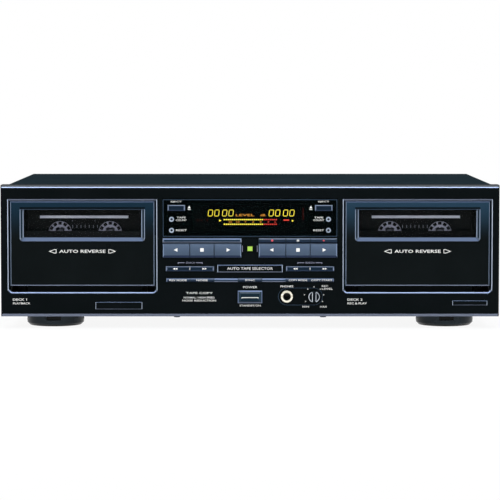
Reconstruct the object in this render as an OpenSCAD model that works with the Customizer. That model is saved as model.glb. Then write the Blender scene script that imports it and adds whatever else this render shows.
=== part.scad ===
// Double cassette deck, in millimetres. X runs across the front, Y from front to back, Z up.
// The origin lies on the floor, at the middle of the overall width and depth.
// Inside the modules a point is given from the front panel: x across, d behind its face,
// z above its lower edge.

/* [Case] */
// Width of the moulded front panel
fascia_w = 420; // [416:1:440]
// Height of the front panel without the feet
fascia_h = 111; // [110:0.5:116]
// Depth of the front panel's walls
fascia_d = 20; // [18:0.5:23]
// Thickness of the front panel's face
face_t = 3; // [2.6:0.1:3.4]
// Thickness of the front panel's top, bottom and side walls
wall_t = 2.5; // [2:0.1:2.8]
// Bevel along the upper front edge
top_bevel = 2.2; // [1:0.1:2.4]
// Bevel along the lower front edge
bottom_bevel = 2.4; // [1:0.1:2.5]
// Depth from the panel's face to the cover's rear edge
body_d = 265; // [255:1:300]
// Step from the panel's side in to the cover's side
cover_step = 5; // [4:0.5:7]
// Sheet steel thickness of cover, chassis and rear panel
sheet_t = 1; // [0.8:0.1:1.2]
// Gap between the cover and the parts inside it
case_gap = 0.3; // [0.2:0.1:0.5]
// Ground clearance under the front panel
foot_h = 10; // [8:0.5:14]
// Diameter of a foot
foot_dia = 50; // [42:1:52]
// Distance of the front feet behind the panel's face
foot_d = 40; // [38:1:50]
// Distance of a foot's middle from the cover's side
foot_in = 38; // [30:1:50]

/* [Doors] */
// Distance of a deck's middle from the panel's side
deck_edge = 68.8; // [68:0.1:70]
// Door width
door_w = 121.8; // [118:0.2:123]
// Door height
door_h = 71.2; // [70.6:0.1:71.6]
// Lower edge of the door above the panel's lower edge
door_z = 26.1; // [25.6:0.1:26.4]
// Thickness of the door
door_t = 4; // [3.6:0.1:4.4]
// How far the door's face lies behind the panel's face
door_set = 0.5; // [0.2:0.1:1]
// Gap around the sides and top of the door
door_gap = 0.6; // [0.4:0.1:1]
// Open strip under the door, for its swing
strip_h = 5.6; // [4.6:0.1:6]
// Width of the bevelled rim around the door
rim_w = 1.5; // [1.2:0.1:2.4]
// Width of the door's window in its face
window_w = 105.3; // [100:0.1:107]
// Height of the door's window in its face
window_h = 26.9; // [24:0.1:27]
// Lower edge of the window above the door's lower edge
window_z = 37.6; // [36.6:0.1:38]
// Bevel along the window's sides and sill
window_bevel = 3; // [2:0.1:3.4]
// Thickness of the window lens
lens_t = 2; // [1.6:0.1:2.2]

/* [Cassettes] */
// Cassette width
cass_w = 100.4; // [100:0.1:100.8]
// Cassette height
cass_h = 63.8; // [63.4:0.1:64]
// Thickness of the cassette's body
cass_t = 8.7; // [8.5:0.1:8.9]
// How far the thick lower part stands out on each face
cass_bulge = 1.65; // [1.4:0.05:1.8]
// Distance between the reel hubs
hub_pitch = 42.5; // [42:0.1:43]
// Reel axis below the cassette's upper edge
hub_drop = 27.3; // [26.8:0.1:29.2]
// Upper edge of the cassette below the door's upper edge
cass_drop = 0.2; // [0.2:0.1:1.4]
// Free space between cassette and holder
cass_gap = 0.3; // [0.2:0.05:0.4]
// Radius of a reel hub
hub_r = 10.6; // [10:0.1:11]
// Radius of the tape on the full reel
tape_full_r = 19; // [14:0.5:22]
// Radius of the tape on the other reel
tape_low_r = 13; // [12:0.5:19]
// Wall of the cassette shell
shell_t = 1; // [0.8:0.1:1.2]

/* [Mechanism] */
// Shift of the cassette from the door's middle towards the middle of the deck
mech_shift = 1.5; // [0:0.1:2]
// Height of the door hinge above the panel's lower edge
hinge_z = 8; // [7.6:0.1:8.4]
// Depth of the door hinge behind the panel's face
hinge_d = 11; // [10.6:0.1:11.4]
// Radius of a hinge pin
pin_r = 2; // [1.6:0.1:2.2]
// Free space around a turning shaft or pin
run_fit = 0.06; // [0.03:0.01:0.09]
// Space between a moving part and the mechanism plate
plate_gap = 0.3; // [0.2:0.05:0.4]
// Thickness of the mechanism plate
frame_t = 1.8; // [1.4:0.1:2.2]
// Distance of a capstan from the cassette's middle
capstan_x = 23.5; // [23:0.1:24]
// Capstan above the cassette's lower edge
capstan_up = 6; // [5.8:0.1:6.2]
// Radius of a capstan
capstan_r = 1; // [0.9:0.05:1.1]
// Thickness of the drive belt
belt_t = 1.2; // [0.8:0.1:1.4]
// Upward travel of the head plate
head_travel = 5; // [4.6:0.1:5.2]
// Radius of a pinch roller
roller_r = 4; // [3.6:0.1:4.2]

/* [Keys] */
// Gap around every key and button
key_gap = 0.3; // [0.2:0.05:0.4]
// Travel of keys and buttons
key_travel = 1.5; // [1:0.1:1.8]
// Gap between a door and the middle section
bank_margin = 6.8; // [6:0.1:7.4]
// How far the display window reaches past the key banks
display_over = 0.5; // [0.1:0.1:1.1]
// Lower edge of the display window
display_z = 67; // [66.8:0.1:67.2]
// Height of the display window
display_h = 32.6; // [32:0.1:33]
// Thickness of the display window
display_t = 1.6; // [1.2:0.1:1.8]
// Inner end of a transport key bank
bank_in = 7.3; // [7:0.1:8]
// Width of the middle transport key
mid_key_w = 20.5; // [19:0.1:22]
// Lower edge of the transport keys
key_z = 50; // [49.5:0.1:50.2]
// Height of the transport keys
key_h = 11.7; // [11:0.1:11.9]
// How far the transport keys stand out
key_stand = 2.6; // [1.8:0.1:3]
// Height of the narrow strip over the transport keys
strip_key_h = 3.6; // [3:0.1:3.8]
// Ridge between the transport keys and the strip
strip_ridge = 0.9; // [0.8:0.1:1]
// Half width of the middle plate between the search rockers
plate_half = 27.4; // [24:0.1:28]
// Gap between the middle plate and a search rocker
search_gap = 3; // [2:0.1:4]
// Step from a key bank's outer end in to a search rocker's end
search_in = 2.7; // [1:0.1:4]
// Height of the search rockers' middle
search_z = 40.5; // [40:0.1:41]
// Height of a search rocker
search_h = 4; // [3.6:0.1:4.4]
// Tilt of a search rocker to either side, in degrees
search_tilt = 2; // [1:0.5:2.5]
// Step from a key bank's outer end in to the slim row's end
slim_in = 2.8; // [2:0.1:4]
// Height of the slim row's middle
slim_z = 30.9; // [30.5:0.1:31.4]
// Height of a slim button
slim_h = 3; // [2.8:0.1:3.4]
// Width of the power button
power_w = 17.4; // [16:0.1:18]
// Height of the power button
power_h = 7.4; // [7:0.1:8]
// Width of the power button's raised frame
power_frame = 1.3; // [1:0.1:1.5]
// Height of the power button's middle
power_z = 16.7; // [16:0.1:17.4]
// Distance of an eject button's middle from the display window's end
eject_in = 12; // [11:0.1:13]
// Height of the eject buttons' middle
eject_z = 91.8; // [91:0.1:92.4]
// Distance of a round button's middle from the display window's end
round_in = 8; // [7:0.1:9]
// Diameter of the round buttons
round_dia = 4; // [3.6:0.1:4.4]
// Height of the counter buttons
counter_z = 82.3; // [81.6:0.1:83]
// Height of the reset buttons
reset_z = 73; // [72.4:0.1:73.6]
// Distance of the headphone socket from the middle
phones_x = 31.1; // [30.6:0.1:31.6]
// Height of the headphone socket
phones_z = 17; // [16.6:0.1:17.4]
// Radius of the headphone socket's bore
phones_r = 3.25; // [3.2:0.01:3.3]
// Length of the headphone socket's bore
phones_len = 26; // [24:1:28]
// Distance of the level knob from the middle
knob_x = 54; // [53:0.1:55]
// Diameter of the level knob
knob_dia = 9.4; // [8.6:0.1:10]
// How far the knob stands out
knob_stand = 6; // [5:0.1:8]

/* [Rear] */
// How far the line sockets stand out behind the cover
jack_stand = 7; // [6:0.5:9]
// Outer radius of a line socket
jack_r = 4.15; // [4.1:0.01:4.2]
// Radius of a line socket's middle contact
jack_bore_r = 1.65; // [1.6:0.01:1.7]
// Distance between line sockets
jack_pitch = 14; // [12:0.5:16]
// Distance of the line sockets' middle from the cover's side
jack_in = 55; // [45:1:65]
// Distance of the mains inlet's middle from the cover's side
inlet_in = 45; // [37:1:55]

/* [Hidden] */
$fn = 48;
eps = 0.01;

// Frame of the whole deck
face_y = (knob_stand - body_d - jack_stand) / 2;
cover_half = fascia_w / 2 - cover_step;
inner_half = cover_half - sheet_t - case_gap;
floor_z = wall_t;
floor_top = floor_z + sheet_t;
cover_top = fascia_h - 0.3;
rear_d = body_d - sheet_t;
rear_foot_d = body_d - foot_d;
deck_x = fascia_w / 2 - deck_edge;
mech_x = deck_x - mech_shift;
foot_x = cover_half - foot_in;

// Doors, holders and cassettes, front to back
door_back = door_set + door_t;
well_w = door_w + 2 * door_gap;
well_low = door_z - strip_h;
well_top = door_z + door_h + door_gap;
rim_d = 2;
win_low = door_z + window_z;
lens_d = door_back - lens_t;
lens_edge = 2;
clear_w = window_w - 2 * window_bevel;
clear_low = win_low + window_bevel;
clear_top = win_low + window_h - 0.4;
holder_t = 1.6;
holder_d = door_back + holder_t;
bulge_d = holder_d + 5.9;
cass_d = bulge_d + cass_bulge;
cass_back = cass_d + cass_t;
bulge_back = cass_back + cass_bulge;
cass_top = door_z + door_h - cass_drop;
cass_z = cass_top - cass_h;
hub_z = cass_top - hub_drop;
slot_low = hub_z + 2.4;
capstan_z = cass_z + capstan_up;
tape_d = cass_d + cass_t / 2;
side_in = cass_w / 2 + cass_gap;
side_out = side_in + 2;

// Mechanism, front to back
frame_d = bulge_back + 3;
frame_back = frame_d + frame_t;
gear_t = 2.4;
fly_d = frame_back + 2 * plate_gap + gear_t + 1.2;
fly_t = 5;
thrust_d = fly_d + fly_t + 3;
thrust_t = 1.5;
guide_x = 30;
guide_r = 1.5;
head_half = guide_x + 4;
belt_gap = 0.3;
fly_r = capstan_x - belt_t / 2 - belt_gap;
pulley_r = 3.5;
motor_x = -capstan_x + fly_r - pulley_r;
motor_rise = 49;
motor_z = capstan_z + motor_rise;
motor_r = 13;
motor_len = 22.5;
post_x = 51;
post_low = capstan_z - 22;
post_high = capstan_z + 24;
frame_half = 58;
mount_x = 40;
mount_low = 13;
mount_high = fascia_h - wall_t - 4.2;
ear_in = side_out + 2 * plate_gap;
ear_t = 3;
roller_rest = capstan_z - capstan_r - roller_r - 0.15 - head_travel;
head_top = cass_z + 4.2 - head_travel;
bridge_top = cass_z - head_travel - 0.4;
bridge_h = 5;
arm_t = 1.8;

// Front controls
bank_out = deck_x - door_w / 2 - bank_margin;
display_half = bank_out + display_over;
search_w = bank_out - search_in - plate_half - search_gap;
search_x = plate_half + search_gap + search_w / 2;
slim_pitch = 2 * (bank_out - slim_in) / 7;
eject_x = display_half - eject_in;
round_x = display_half - round_in;
board_d = face_t + 12;
board_t = 1.6;
switch_d = board_d - 4.5;
flange_t = 1;
stem_end = switch_d - key_travel - 0.3;
strip_z = key_z + key_h + strip_ridge;
slim_stand = 1.2;
eject_w = 14.5;
eject_h = 4.8;
tube_gap = 6.75;
tube_w = 2 * (eject_x - eject_w / 2 - tube_gap);
tube_h = 22;
tube_z = display_z + display_h / 2 + 0.6;
lamp_w = 5;
lamp_h = 4.6;
lamp_z = key_z + key_h / 2 + 1.6;
recess_r = 6.8;
recess_depth = 0.6;

// Rear sockets
jack_x = cover_half - jack_in;
inlet_x = inlet_in - cover_half;
socket_r = jack_r + 0.75;
socket_flange_r = jack_r + 1.45;
socket_plate_t = 1.6;
socket_seat = socket_plate_t + run_fit;
socket_flange_t = 1;
socket_bore_d = 8;
socket_floor = 1.5;
block_w = 2 * jack_pitch + 8;
block_z = 62;
inlet_w = 30;
inlet_h = 18;
inlet_z = 40;

// Screws
shank_r = 1.4;
hole_r = 1.7;
head_r = 3.2;
head_t = 1.6;
side_screw_z = 12;
side_screws = [body_d * 0.25, body_d * 0.8];
rear_screws = [-cover_half * 0.85, 0, cover_half * 0.85];
front_screw_x = 62;
front_screw_d = 14;

// Helpers

module at_panel() {
    translate([0, face_y, foot_h]) children();
}

// The side of the deck: 1 is the left deck, 2 the right one
function side(n) = n == 1 ? -1 : 1;

module at_door(n) {
    at_panel() translate([side(n) * deck_x, 0, 0]) children();
}

module at_mech(n) {
    at_panel() translate([side(n) * mech_x, 0, 0]) children();
}

module rounded_rect(w, h, r) {
    square([w, h - 2 * r], center = true);
    square([w - 2 * r, h], center = true);
    for (i = [-1, 1], j = [-1, 1]) translate([i * (w / 2 - r), j * (h / 2 - r)]) circle(r);
}

// A flat shape drawn in x and z, from depth d0 to d1
module upright(d0, d1) {
    translate([0, d1, 0]) rotate([90, 0, 0]) linear_extrude(d1 - d0) children();
}

// A round along the depth
module rod(x, z, r, d0, d1) {
    translate([x, d1, z]) rotate([90, 0, 0]) cylinder(r = r, h = d1 - d0);
}

// A box given by its middle in x and z
module block(x, z, w, h, d0, d1) {
    translate([x - w / 2, d0, z - h / 2]) cube([w, d1 - d0, h]);
}

// A profile in depth and height, drawn across a width
module across(w) {
    rotate([90, 0, 90]) linear_extrude(w, center = true) children();
}

// A block with bevels round its front: b is left, right, low and high, run is their depth
module bevelled(w, h, front, back, b, run) {
    intersection() {
        linear_extrude(h, center = true)
            polygon([[-w / 2, back], [-w / 2, front + run], [-w / 2 + b[0], front],
            [w / 2 - b[1], front], [w / 2, front + run], [w / 2, back]]);
        across(w) polygon([[back, -h / 2], [front + run, -h / 2], [front, -h / 2 + b[2]],
            [front, h / 2 - b[3]], [front + run, h / 2], [back, h / 2]]);
    }
}

// A key through the face, with its flange behind the face and its stem to the switch
module key(x, z, w, h, stand, b, run, seat = face_t) {
    at_panel() translate([x, 0, z]) {
        bevelled(w, h, -stand, seat + key_gap + flange_t, b, run);
        block(0, 0, w + 0.2, h + 1.6, seat + key_gap, seat + key_gap + flange_t);
        block(0, 0, 2.4, 2.4, seat, stem_end);
    }
}

// Layout of the transport keys: key k of 0, 1, 2 from the bank's left end
bank_w = bank_out - bank_in;
side_key_w = (bank_w - mid_key_w) / 2;
function bank_left(n) = n == 1 ? -bank_out : bank_in;
function key_x(n,
    k) = bank_left(n) + (k == 0 ? side_key_w / 2 : k == 1 ? bank_w / 2 : bank_w - side_key_w / 2);
function key_w(k) = (k == 1 ? mid_key_w : side_key_w) - key_gap;
function slim_x(i) = (i - 3) * slim_pitch;
slim_keys = [0, 1, 3, 5, 6];

// Case

module well_outline(w, low, top, r) {
    translate([-w / 2, low + r]) square([w, top - low - r]);
    translate([-w / 2 + r, low]) square([w - 2 * r, r + eps]);
    for (i = [-1, 1]) translate([i * (w / 2 - r), low + r]) circle(r);
}

module well_cut() {
    hull() {
        upright(-eps, 0) well_outline(well_w + 2 * rim_w, well_low - rim_w, well_top + rim_w - 0.2, 4);
        upright(rim_d - eps, rim_d) well_outline(well_w, well_low, well_top, 2.4);
    }
    upright(rim_d - 2 * eps, face_t + eps) well_outline(well_w, well_low, well_top, 2.4);
}

module face_openings() {
    for (n = [1, 2]) {
        s = side(n);
        block(bank_left(n) + bank_w / 2, key_z + key_h / 2, bank_w + key_gap, key_h + 2 * key_gap, -1,
            face_t + 1);
        block(s * search_x, search_z, search_w + 2 * key_gap, search_h + 2 * key_gap, -1, face_t + 1);
        block(s * eject_x, eject_z, eject_w + 2 * key_gap, eject_h + 2 * key_gap, -1, face_t + 1);
        for (z = [counter_z, reset_z]) rod(s * round_x, z, round_dia / 2 + key_gap, -1, face_t + 1);
    }
    block(bank_left(2) + bank_w / 2, strip_z + strip_key_h / 2, bank_w + key_gap, strip_key_h + key_gap,
        -1, face_t + 1);
    for (i = slim_keys) block(slim_x(i), slim_z, slim_pitch + eps, slim_h + 2 * key_gap, -1, face_t + 1);
    block(0, power_z, power_w + 2 * key_gap, power_h + 2 * key_gap, -2, face_t + 1);
    block(0, lamp_z, lamp_w + 0.2, lamp_h + 0.2, -1, face_t + 1);
    block(0, tube_z, tube_w + 1, tube_h + 1, -1, face_t + 1);
    rod(phones_x, phones_z, phones_r + 1.35, -1, face_t + 1);
    rod(knob_x, phones_z, 3, -1, face_t + 1);
}

module front_panel() {
    color([0.05, 0.07, 0.08]) at_panel() difference() {
        union() {
            difference() {
                intersection() {
                    across(fascia_w)
                        polygon([[0, bottom_bevel], [0, fascia_h - top_bevel], [top_bevel, fascia_h],
                        [fascia_d, fascia_h], [fascia_d, 0], [bottom_bevel, 0]]);
                    linear_extrude(fascia_h) polygon([[-fascia_w / 2 + 0.8, 0], [fascia_w / 2 - 0.8, 0],
                        [fascia_w / 2, 0.8], [fascia_w / 2, fascia_d], [-fascia_w / 2, fascia_d],
                            [-fascia_w / 2, 0.8]]);
                }
                translate([-fascia_w / 2 + wall_t, face_t, wall_t])
                    cube([fascia_w - 2 * wall_t, fascia_d - face_t - flange_t, fascia_h - 2 * wall_t]);
                translate([-inner_half, face_t, wall_t])
                    cube([2 * inner_half, fascia_d, fascia_h - 2 * wall_t]);
                for (n = [1, 2]) translate([side(n) * deck_x, 0, 0]) well_cut();
                upright(-1, display_t) translate([0, display_z + display_h / 2])
                    square([2 * display_half + 0.3, display_h + 0.3], center = true);
            }
            // posts for the two mechanisms, and a wall behind each open strip
            for (n = [1, 2]) translate([side(n) * mech_x, 0, 0]) {
                for (i = [-1, 1], z = [mount_low, mount_high])
                    difference() {
                        rod(i * mount_x, z, 3.6, face_t - eps, frame_d);
                        rod(i * mount_x, z, shank_r + run_fit, frame_d - 8, frame_d + 1);
                    }
                translate([-mount_x - 8, hinge_d - pin_r - 2, wall_t - eps])
                    cube([2 * mount_x + 16, 1.4, well_low + 7.5 - wall_t]);
            }
            // posts for the control board
            for (i = [-1, 1], z = [26, fascia_h - wall_t - 5])
                rod(i * display_half, z, 1.8, face_t - eps, board_d);
            // raised trim: blank strip, blank slim keys, middle plate, badge plates and power frame
            translate([bank_left(1) + bank_w / 2, 0, strip_z + strip_key_h / 2])
                bevelled(bank_w, strip_key_h, -1.4, eps, [1, 1, 1, 1], 1.2);
            for (i = [2, 4]) translate([slim_x(i), 0, slim_z])
                bevelled(slim_pitch - key_gap, slim_h, -slim_stand, eps, [0.2, 0.2, 0.9, 0.9], 0.9);
            translate([0, 0, search_z + 0.2]) difference() {
                bevelled(2 * plate_half, 6.3, -0.7, eps, [0.6, 0.6, 0.6, 0.6], 0.6);
                block(0, 0, 2 * plate_half - 2.4, 6.3 - 2.4, -1, -0.1);
            }
            translate([99.4 - fascia_w / 2, 0, 9.3])
                bevelled(39.2, 6, -0.4, eps, [0.3, 0.3, 0.3, 0.3], 0.3);
            translate([fascia_w / 2 - 24.6, 0, 11.6])
                bevelled(29.2, 3.8, -0.4, eps, [0.3, 0.3, 0.3, 0.3], 0.3);
            translate([0, 0, power_z])
                bevelled(power_w + 2 * (key_gap + power_frame), power_h + 2 * (key_gap + power_frame),
                -1.2, eps, [0.7, 0.7, 0.7, 0.7], 0.7);
        }
        face_openings();
        // one shallow recess for the headphone socket and the level knob
        upright(-1, recess_depth) {
            translate([phones_x, phones_z - recess_r]) square([knob_x - phones_x, 2 * recess_r]);
            for (x = [phones_x, knob_x]) translate([x, phones_z]) circle(recess_r);
        }
        for (i = [-1, 1]) translate([i * front_screw_x, front_screw_d, -1])
            cylinder(r = hole_r, h = wall_t + 2);
    }
}

module top_cover() {
    color([0.14, 0.16, 0.17]) at_panel() difference() {
        union() {
            difference() {
                translate([-cover_half, fascia_d + case_gap, floor_z])
                    cube([2 * cover_half, body_d - fascia_d - case_gap, cover_top - floor_z]);
                translate([-cover_half + sheet_t, fascia_d, 0])
                    cube([2 * (cover_half - sheet_t), body_d, cover_top - sheet_t]);
            }
            translate([-cover_half, rear_d, cover_top - 11]) cube([2 * cover_half, sheet_t, 11]);
        }
        for (i = [-1, 1], d = side_screws) translate([i * cover_half, d, floor_top + side_screw_z])
            rotate([0, 90, 0]) cylinder(r = hole_r, h = 6, center = true);
        for (x = rear_screws) rod(x, cover_top - 5.5, hole_r, rear_d - 1, body_d + 1);
        // air slots in both side walls, beside the transformer
        for (i = [-1, 1], z = [0:8:32])
            translate([i * (cover_half - sheet_t / 2), body_d - 60, cover_top - 18 - z])
            cube([sheet_t + 2, 44, 3.4], center = true);
    }
}

module chassis() {
    color([0.62, 0.64, 0.65]) at_panel() difference() {
        union() {
            translate([-inner_half, hinge_d - pin_r + 1, floor_z])
                cube([2 * inner_half, rear_d - sheet_t - hinge_d + pin_r - 1, sheet_t]);
            for (i = [-1, 1])
                translate([i * (inner_half - sheet_t / 2) - sheet_t / 2, fascia_d + 1, floor_z])
                cube([sheet_t, rear_d - sheet_t - fascia_d - 1, side_screw_z + 9]);
            for (p = board_posts) translate([p[0], p[1], floor_top - eps])
                cylinder(r = 3, h = main_board_z - floor_top + eps);
        }
        for (i = [-1, 1], d = side_screws) translate([i * inner_half, d, floor_top + side_screw_z])
            rotate([0, 90, 0]) cylinder(r = shank_r + run_fit, h = 6, center = true);
        for (i = [-1, 1]) translate([i * front_screw_x, front_screw_d, 0])
            cylinder(r = shank_r + run_fit, h = 8);
        for (i = [-1, 1], d = [foot_d, rear_foot_d]) translate([i * foot_x, d, 0])
            cylinder(r = shank_r + run_fit, h = 8);
        for (p = board_posts) translate([p[0], p[1], 0])
            cylinder(r = shank_r + run_fit, h = main_board_z + 2);
        for (p = iron_holes) translate([p[0], p[1], 0]) cylinder(r = shank_r + run_fit, h = 8);
        for (x = [40:12:112]) translate([x, body_d - 150, 0]) cube([4, 60, 8]);
    }
}

module rear_panel() {
    color([0.12, 0.13, 0.14]) at_panel() difference() {
        translate([-inner_half, rear_d - sheet_t, floor_z])
            cube([2 * inner_half, sheet_t, cover_top - sheet_t - case_gap - floor_z]);
        block(jack_x, block_z, block_w, block_w - 4, rear_d - 4, rear_d + 4);
        block(inlet_x, inlet_z, inlet_w - 5, inlet_h - 4, rear_d - 4, rear_d + 4);
        for (x = rear_screws) rod(x, cover_top - 5.5, shank_r + run_fit, rear_d - 4, rear_d + 4);
        for (i = [-1, 1])
            rod(jack_x + i * (block_w / 2 + 4), block_z, shank_r + run_fit, rear_d - 4, rear_d + 4);
        for (i = [-1, 1])
            rod(inlet_x + i * (inlet_w / 2 + 4), inlet_z, shank_r + run_fit, rear_d - 4, rear_d + 4);
    }
}

module feet() {
    color([0.1, 0.11, 0.12]) at_panel() for (i = [-1, 1], d = [foot_d, rear_foot_d])
        translate([i * foot_x, d, 0])
        difference() {
            rotate_extrude()
                polygon([[0, -foot_h], [foot_dia / 2 - 3, -foot_h], [foot_dia / 2 - 0.8, -foot_h + 2.2],
                [foot_dia / 2, -0.3], [foot_dia / 2 - 4, -0.3], [foot_dia / 2 - 5.2, floor_z], [0,
                    floor_z]]);
            for (a = [0:90:270]) rotate(a) translate([-6.2, foot_dia / 2 - 3, -4.8]) cube([12.4, 6, 5]);
            translate([0, 0, -foot_h - 1]) cylinder(r = head_r + 1.4, h = 6);
            translate([0, 0, -foot_h]) cylinder(r = hole_r, h = foot_h + 8);
        }
}

// Head and shank of a screw pointing along +Z from its seat at z = 0
module screw(len, r = head_r) {
    difference() {
        union() {
            translate([0, 0, -head_t]) cylinder(r = r, h = head_t);
            cylinder(r = shank_r, h = len);
        }
        translate([-0.4, -r * 0.7, -head_t - 1]) cube([0.8, r * 1.4, 1.7]);
        translate([-r * 0.7, -0.4, -head_t - 1]) cube([r * 1.4, 0.8, 1.7]);
    }
}

module screws() {
    color([0.3, 0.31, 0.33]) at_panel() {
        for (i = [-1, 1], d = side_screws) translate([i * cover_half, d, floor_top + side_screw_z])
            rotate([0, -i * 90, 0]) screw(7);
        for (x = rear_screws) translate([x, body_d, cover_top - 5.5]) rotate([90, 0, 0]) screw(6);
        for (i = [-1, 1]) translate([i * front_screw_x, front_screw_d, 0]) screw(wall_t + sheet_t + 2, 2.6);
        for (i = [-1, 1], d = [foot_d, rear_foot_d]) translate([i * foot_x, d, -foot_h + 5])
            screw(foot_h + 1);
        for (i = [-1, 1]) translate([jack_x + i * (block_w / 2 + 4), rear_d + socket_plate_t, block_z])
            rotate([90, 0, 0]) screw(6, 2.4);
        for (i = [-1, 1]) translate([inlet_x + i * (inlet_w / 2 + 4), rear_d + 2, inlet_z])
            rotate([90, 0, 0]) screw(6, 2.4);
        for (p = board_posts) translate([p[0], p[1], main_board_z + board_t]) rotate([180, 0, 0])
            screw(5, 2.6);
        for (p = iron_holes) translate([p[0], p[1], floor_top + iron_plate_t])
            rotate([180, 0, 0]) screw(iron_plate_t + sheet_t + 0.5, 2.6);
        for (n = [1, 2], i = [-1, 1], z = [mount_low, mount_high])
            translate([side(n) * mech_x + i * mount_x, frame_back, z]) rotate([90, 0, 0]) screw(7, 2.8);
    }
}

// Inside

main_board_z = floor_top + 7;
main_left = -50;
main_right = inner_half - 13.7;
main_front = thrust_d + 50;
main_rear = rear_d - 24;
board_posts = [for (x = [main_left + 6, main_right - 6], d = [main_front + 6, main_rear - 6]) [x, d]];
iron_w = 62;
iron_t = 36;
iron_h = 50;
iron_in = 87;
iron_plate_t = 1.5;
coil_out = 9;
coil_h = 35;
iron_x = iron_in - cover_half;
iron_d = body_d - 60;
iron_holes = [for (i = [-1, 1]) [iron_x + i * (iron_w / 2 + 6), iron_d]];

// Front switches: middle of each one
switch_list = concat(
    [for (n = [1, 2], k = [0, 1, 2]) [key_x(n, k), key_z + key_h / 2]],
    [for (k = [0, 1, 2]) [key_x(2, k), strip_z + strip_key_h / 2]],
    [for (n = [1, 2], i = [-1, 1]) [side(n) * search_x + i * (search_w / 2 - 5), search_z]],
    [for (i = slim_keys) [slim_x(i), slim_z]],
    [for (s = [-1, 1]) [s * eject_x, eject_z]],
    [for (s = [-1, 1], z = [counter_z, reset_z]) [s * round_x, z]],
    [[0, power_z]]);

module circuit_boards() {
    color([0.16, 0.36, 0.22]) at_panel() {
        // control board with its switches, display tube, lamp and level control
        difference() {
            union() {
                translate([-display_half - 2, board_d, 9])
                    cube([2 * display_half + 4, board_t, fascia_h - wall_t - 11]);
                for (p = switch_list) {
                    block(p[0], p[1], 5, strip_key_h - 0.4, board_d - 3.5, board_d + eps);
                    rod(p[0], p[1], 1.2, switch_d, board_d - 3.5 + eps);
                }
                block(0, tube_z, tube_w, tube_h, face_t + 0.4, face_t + 6.4);
                block(0, tube_z, tube_w - 8, tube_h - 6, face_t + 6.4 - eps, board_d + eps);
                block(0, lamp_z, 3, 3, face_t + 2.4, board_d + eps);
                block(knob_x, phones_z, 12, 12, board_d - 8, board_d + eps);
            }
            block(phones_x, phones_z, 15, 15, 0, board_d + 10);
            rod(knob_x, phones_z, 2.4 + run_fit, 0, board_d + 10);
        }
        // main board with its parts
        difference() {
            union() {
                translate([main_left, main_front, main_board_z])
                    cube([main_right - main_left, main_rear - main_front, board_t]);
                translate([0, 0, main_board_z + board_t - eps]) {
                    for (i = [0:3]) translate([main_left + 24 + i * 16, main_rear - 26, 0])
                        cylinder(r = 5 + i % 2, h = 18 + 3 * (i % 2));
                    for (i = [0:4]) translate([main_left + 100 + i * 22, main_front + 22, 0])
                        cylinder(r = 3, h = 11);
                    for (i = [0:3]) translate([main_left + 30 + i * 42, main_front + 44, 0])
                        cube([26, 9, 4]);
                    translate([main_left + 92, main_rear - 30, 0]) cube([44, 14, 30]);
                }
            }
            for (p = board_posts) translate([p[0], p[1], 0]) cylinder(r = hole_r, h = main_board_z + 8);
        }
    }
}

module power_transformer() {
    color([0.35, 0.35, 0.36]) at_panel() translate([iron_x, iron_d, floor_top]) {
        difference() {
            union() {
                translate([-iron_w / 2 - 12, -iron_t / 2 - 2, 0])
                    cube([iron_w + 24, iron_t + 4, iron_plate_t]);
                translate([-iron_w / 2, -iron_t / 2, iron_plate_t - eps]) cube([iron_w, iron_t, iron_h]);
            }
            for (i = [-1, 1]) translate([i * (iron_w / 2 + 6), 0, -1]) cylinder(r = hole_r, h = 4);
        }
        for (d = [-iron_t / 2 - coil_out, iron_t / 2 - eps])
            translate([-iron_w / 2 + 11, d, iron_plate_t + (iron_h - coil_h) / 2])
                cube([iron_w - 22, coil_out + eps, coil_h]);
    }
}

module phones_jack() {
    color([0.7, 0.65, 0.5]) at_panel() difference() {
        union() {
            rod(phones_x, phones_z, 5, -1, recess_depth);
            rod(phones_x, phones_z, phones_r + 1.05, recess_depth - eps, face_t + 1);
            block(phones_x, phones_z, 13, 13, face_t + 0.2, phones_len + 2);
        }
        rod(phones_x, phones_z, phones_r, -2, phones_len - 1);
    }
}

module rear_sockets() {
    color([0.08, 0.08, 0.09]) at_panel() {
        // moulded plate and its four line sockets
        translate([jack_x, 0, block_z]) {
            difference() {
                block(0, 0, block_w + 14, block_w + 2, rear_d, rear_d + socket_plate_t);
                for (i = [-1, 1], j = [-1, 1])
                    rod(i * jack_pitch / 2, j * jack_pitch / 2, socket_r + run_fit, rear_d - 1, rear_d + 3);
                for (i = [-1, 1]) rod(i * (block_w / 2 + 4), 0, hole_r, rear_d - 1, rear_d + 3);
            }
            for (i = [-1, 1], j = [-1, 1]) translate([i * jack_pitch / 2, 0, j * jack_pitch / 2])
                difference() {
                union() {
                    rod(0, 0, socket_r, rear_d - socket_bore_d - socket_floor, rear_d + socket_seat + eps);
                    rod(0, 0, socket_flange_r, rear_d + socket_seat,
                        rear_d + socket_seat + socket_flange_t);
                    rod(0, 0, jack_r, rear_d + socket_seat, body_d + jack_stand);
                }
                rod(0, 0, jack_bore_r, rear_d - socket_bore_d, body_d + jack_stand + 1);
            }
        }
        // mains inlet with two pins
        translate([inlet_x, 0, inlet_z]) {
            difference() {
                union() {
                    block(0, 0, inlet_w + 16, inlet_h, rear_d, rear_d + 2);
                    block(0, 0, inlet_w - 5.6, inlet_h - 4.6, rear_d - 16, rear_d + eps);
                }
                upright(rear_d - 12, rear_d + 3) rounded_rect(15, 8.4, 4.19);
                for (i = [-1, 1]) rod(i * (inlet_w / 2 + 4), 0, hole_r, rear_d - 1, rear_d + 3);
            }
            for (i = [-1, 1]) rod(i * 4.3, 0, 1.15, rear_d - 12 - eps, rear_d - 1);
        }
    }
}

// Tape mechanisms

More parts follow.
